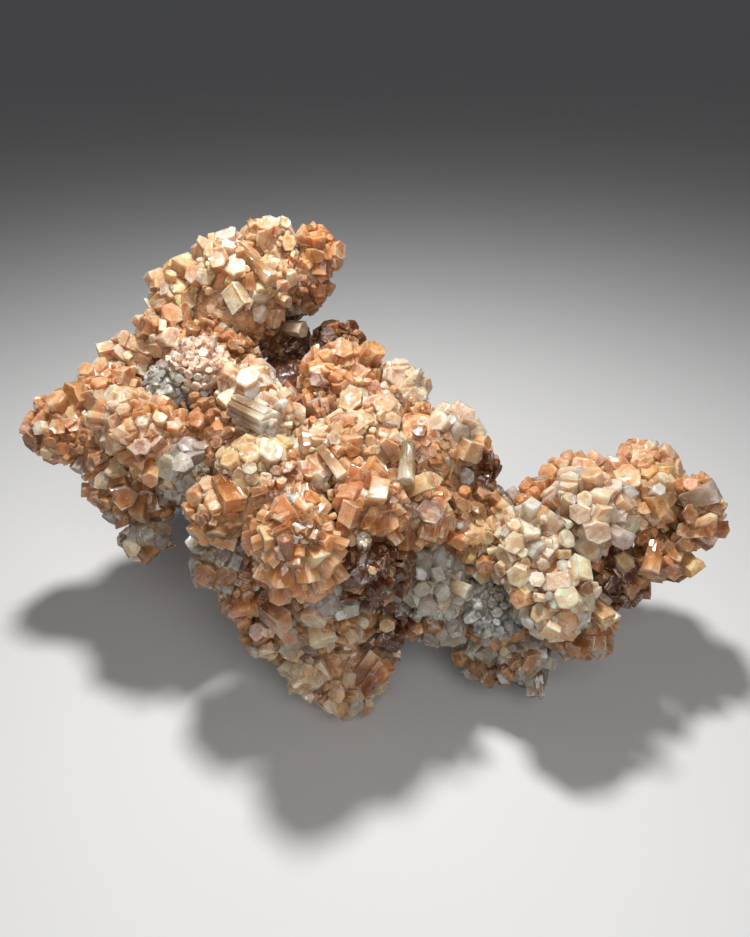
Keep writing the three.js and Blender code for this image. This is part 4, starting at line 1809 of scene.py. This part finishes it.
class CrystalMaterial(Recipe):
    """Material of one finish: zoned ends, lines along the sides, clouds inside, painted reflections, painted
    shade deeper down, painted white glints and eased gloss.
    """

    def __init__(self, finish: Finish) -> None:
        """Builds the tree.

        Args:
            finish: The finish that it shows.
        """
        super().__init__(finish.name)
        self.finish = finish
        self.grain = self.node("Attribute", attribute_name="grain").outputs["Vector"]
        growth = self.node("Attribute", attribute_name="growth").outputs["Color"]
        self.half, chance, self.luck = self.node("SeparateColor", {0: growth}).outputs[:3]
        self.deep = self.node("Attribute", attribute_name="deep").outputs["Color"]
        self.rim = self.node("Attribute", attribute_name="rim").outputs["Color"]
        own = self.node("CombineXYZ", {0: chance, 1: self.luck, 2: chance}).outputs[0]
        self.offset = self.vector("MULTIPLY", own, (57.0, 91.0, 33.0))
        along = self.own_place(1.0, 0.07)
        self.lines = self.noise(along, 2.4, 3.0)
        self.fine_lines = self.noise(along, 6.5, 1.0)
        inside = self.vector("ADD", self.grain, self.offset)
        self.cloud = self.noise(inside, 0.42, 3.0)
        self.speck_and_painted_glint = self.noise(inside, 2.1, 2.0)
        stretched = self.own_place(1.0, 0.45)
        # Cells of random brightness, for the painted reflections inside a crystal.
        self.facets = self.node("SeparateColor", {0: self.cells(stretched, 0.62)}).outputs[0]
        self.tilts = self.vector("SUBTRACT", self.cells(stretched, 1.15), (0.5, 0.5, 0.5))
        self.dress()

    def own_place(self, across: float, along: float) -> Socket:
        """The place in the crystal, scaled, and different in each."""
        return self.vector("ADD", self.vector("MULTIPLY", self.grain, (across, across, along)), self.offset)

    def zones(self) -> tuple[Socket, Socket, Socket, Socket]:
        """Finds the zones of a crystal.

        Returns:
            The depth under the end, and the shares of the rim round it, of the long edges and of the core.
        """
        x, y, z = self.node("SeparateXYZ", {0: self.grain}).outputs
        x, y = self.sum("ABSOLUTE", x), self.sum("ABSOLUTE", y)
        slant = self.sum("MULTIPLY_ADD", y, HALF_FLAT, self.times(x, 0.5))
        out = self.sum("DIVIDE", self.sum("MAXIMUM", x, slant), self.times(self.half, HALF_FLAT))
        away = self.node("CombineXYZ", {0: x, 1: y}).outputs[0]
        away = self.node("VectorMath", {0: away}, operation="LENGTH").outputs["Value"]
        edge = self.ease(self.sum("DIVIDE", away, self.half), 0.90, 1.02)
        depth = self.times(z, -1.0)
        rim = self.times(self.ease(out, 0.78, 1.0), self.less(self.ease(depth, 0.1, 1.3)))
        core = self.times(self.less(self.ease(out, 0.38, 0.62)), self.ease(self.luck, 0.5, 0.75))
        return depth, rim, edge, core

    def dress(self) -> None:
        """Feeds the shader."""
        finish, shader = self.finish, self.shader.inputs
        self.feed(shader["Base Color"], self.colour())
        self.feed(shader["Roughness"], self.ramp(self.speck_and_painted_glint, 0.35, 0.7, *finish.rough))
        shader["IOR"].default_value = finish.refraction
        shader["Transmission Weight"].default_value = finish.pass_through
        shader["Subsurface Weight"].default_value = finish.glow
        shader["Subsurface Radius"].default_value = finish.depth
        shader["Subsurface Scale"].default_value = MM
        self.feed(shader["Normal"], self.relief())

    def colour(self) -> Socket:
        """Colours the crystal, with painted reflections, painted shade deeper under the end and painted white
        glints.

        Returns:
            Its base colour.
        """
        depth, rim, edge, core = self.zones()
        share = self.sum("MULTIPLY_ADD", self.ease(self.cloud, 0.36, 0.64), 0.60 * self.finish.clouds, 0.08)
        share = self.sum("MULTIPLY_ADD", rim, 0.40, share)
        share = self.sum("MULTIPLY_ADD", edge, 0.30, share)
        share = self.sum("MULTIPLY_ADD", self.ease(self.lines, 0.5, 0.72), 0.30, share, clamp=True)
        colour = self.blend(share, self.deep, self.rim)
        # Painted light: patches of random brightness stand in for reflections inside the crystal, and the
        # colour darkens and grows more saturated deeper under the end, a painted shade between the crystals.
        painted_reflection = self.ramp(self.facets, 0.0, 1.0, 0.80, 1.12)
        painted_shade_and_reflection = self.times(painted_reflection, self.ramp(depth, 0.4, 4.5, 1.06, 0.50))
        tint = [self.sum("POWER", painted_shade_and_reflection, power) for power in (1.0, 1.35, 1.75)]
        tint = self.node("CombineXYZ", dict(enumerate(tint))).outputs[0]
        colour = self.blend(1.0, colour, tint, "MULTIPLY")
        colour = self.blend(self.times(core, 0.5), colour, self.blend(0.6, colour, CORE_SHADE, "MULTIPLY"))
        colour = self.blend(self.times(self.ease(self.fine_lines, 0.55, 0.75), 0.08), colour, FROST_AND_PAINTED_GLINT)
        # Painted glints: white specks where the speck noise peaks.
        colour = self.blend(self.times(self.ease(self.speck_and_painted_glint, 0.68, 0.80), 0.25), colour, FROST_AND_PAINTED_GLINT)
        colour = self.crack(colour)
        frost = self.ease(self.noise(self.place(), 160.0, 4.0), 0.54, 0.70)
        most = self.sum("MULTIPLY_ADD", self.sum("MAXIMUM", rim, edge), 0.25, 0.02)
        colour = self.blend(self.times(frost, most), colour, FROST_AND_PAINTED_GLINT)
        if self.finish.crumb:
            colour = self.crumble(colour)
        inputs = {"Saturation": 1.03, "Value": 0.99, "Color": colour}
        return self.node("HueSaturation", inputs).outputs[0]

    def crack(self, colour: Socket) -> Socket:
        """Draws healed cracks, fine and pale, with a shadow in the crystal beside them.

        Args:
            colour: The colour under them.

        Returns:
            The colour with them.
        """
        bent = self.vector("MULTIPLY", self.noise(self.grain, 0.9, 3.0, "Color"), (1.6, 1.6, 1.6))
        place = self.vector("ADD", self.own_place(0.9, 0.6), bent)
        gap = self.cells(place, 0.55, "Distance", feature="DISTANCE_TO_EDGE")
        shade = self.times(self.less(self.ease(gap, 0.02, 0.22)), 0.26)
        colour = self.blend(shade, colour, self.blend(1.0, colour, CRACK_SHADE, "MULTIPLY"))
        line = self.times(self.less(self.ease(gap, 0.008, 0.045)), self.ease(self.cloud, 0.45, 0.58))
        return self.blend(self.times(line, 0.55), colour, FROST_AND_PAINTED_GLINT)

    def crumble(self, colour: Socket) -> Socket:
        """Breaks a colour up with pale and dark crumbs.

        Args:
            colour: The colour under them.

        Returns:
            The colour with them.
        """
        place = self.place()
        pale = self.times(self.ease(self.noise(place, 420.0, 3.0), 0.52, 0.62), 0.6)
        colour = self.blend(pale, colour, self.blend(1.0, self.rim, PALE_CRUMB, "MULTIPLY"))
        dark = self.times(self.ease(self.noise(place, 900.0, 2.0), 0.58, 0.68), 0.5)
        return self.blend(dark, colour, DARK_CRUMB)

    def relief(self) -> Socket:
        """Tilts the surface: lines along the crystal, little facets and, on a crust, fine grain.

        Returns:
            Its normal.
        """
        finish = self.finish
        height = self.sum("MULTIPLY_ADD", self.fine_lines, 0.5, self.lines)
        inputs = {"Strength": finish.streaks, "Distance": 0.12 * MM, "Height": height}
        bump = self.node("Bump", inputs).outputs[0]
        if finish.crumb:
            height = self.noise(self.place(), 1400.0, 3.0)
            inputs = {"Strength": finish.crumb, "Distance": 0.3 * MM, "Height": height, "Normal": bump}
            bump = self.node("Bump", inputs).outputs[0]
        tilt = self.node("VectorMath", {0: self.tilts, "Scale": finish.broken}, operation="SCALE").outputs[0]
        return self.vector("NORMALIZE", self.vector("ADD", bump, tilt))


# ---- Studio ------------------------------------------------------------------------------------------------


@dataclass(frozen=True)
class Lamp:
    """An area light that looks at the cluster.

    Attributes:
        name: What it is called.
        shape: SQUARE or DISK.
        place: Where it hangs, in the frame of the lists.
        size: Its width.
        power: Its power in watts.
    """

    name: str
    shape: str
    place: Point
    size: float
    power: float

    def hang(self, target: Vector) -> None:
        """Hangs it in the scene.

        Args:
            target: What it looks at, in metres.
        """
        data = bpy.data.lights.new(self.name, "AREA")
        data.shape, data.size, data.energy = self.shape, self.size * MM, self.power
        light = bpy.data.objects.new(self.name, data)
        bpy.context.scene.collection.objects.link(light)
        light.location = Vector(to_scene(self.place))
        light.rotation_euler = (target - light.location).to_track_quat("-Z", "Y").to_euler()


@dataclass(frozen=True)
class Studio:
    """Floor and light.

    Attributes:
        lamps: The lamp close above, and the soft light from the front.
        target: Height that they look at.
        sky: Brightness of the surroundings.
        sky_tint: Their colour.
        floor_size: Width of the floor.
        floor_tints: Darkest and palest colour of the floor.
        floor_rough: Its roughness.
    """

    lamps: tuple[Lamp, ...] = (
        Lamp("lamp", "DISK", (-15.0, 27.0, 258.0), 34.0, 0.93),
        Lamp("soft_light", "SQUARE", (40.0, -230.0, 230.0), 180.0, 0.50),
    )
    target: float = 40.0
    sky: float = 0.11
    sky_tint: Colour = (0.93, 0.95, 1.0)
    floor_size: float = 30000.0
    floor_tints: tuple[Colour, Colour] = ((0.47, 0.465, 0.46), (0.50, 0.495, 0.49))
    floor_rough: float = 0.85

    def lay_floor(self) -> None:
        """Lays a plain pale floor."""
        clear_selection()
        bpy.ops.mesh.primitive_plane_add(size=self.floor_size * MM)
        floor = bpy.context.object
        floor.name = "floor"
        recipe = Recipe("floor_pale")
        dark, pale = ((*tint, 1.0) for tint in self.floor_tints)
        tint = recipe.blend(recipe.noise(recipe.place(), 9.0), dark, pale)
        recipe.feed(recipe.shader.inputs["Base Color"], tint)
        recipe.shader.inputs["Roughness"].default_value = self.floor_rough
        floor.data.materials.append(recipe.material)

    def make(self) -> None:
        """Sets up the floor, the lights and the surroundings."""
        self.lay_floor()
        for lamp in self.lamps:
            lamp.hang(Vector((0.0, 0.0, self.target * MM)))
        world = bpy.data.worlds.new("surroundings")
        world.use_nodes = True
        ground = world.node_tree.nodes["Background"]
        ground.inputs["Color"].default_value = (*self.sky_tint, 1.0)
        ground.inputs["Strength"].default_value = self.sky
        bpy.context.scene.world = world
        bpy.context.scene.view_settings.view_transform = "Standard"


# ---- The whole ---------------------------------------------------------------------------------------------


def main() -> None:
    """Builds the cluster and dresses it."""
    eye = Eye()
    eye.make()
    Studio().make()
    forms = CrystalBench().all_forms()
    crystals = Growth(eye).grow()
    finishes = {finish.name: CrystalMaterial(finish).material for finish in FINISHES}
    for lobe in Lobe:
        piece = LobePiece(lobe, forms, np.random.default_rng(SEED + 7))
        mesh = piece.build(crystals)
        piece.paint(mesh, finishes)
        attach(mesh, "root")
        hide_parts(NODE)
        log.info("%s: %d faces", mesh.name, len(mesh.data.polygons))


if __name__ == "__main__":
    logging.basicConfig(level=logging.INFO, format="%(name)s: %(message)s")
    main()
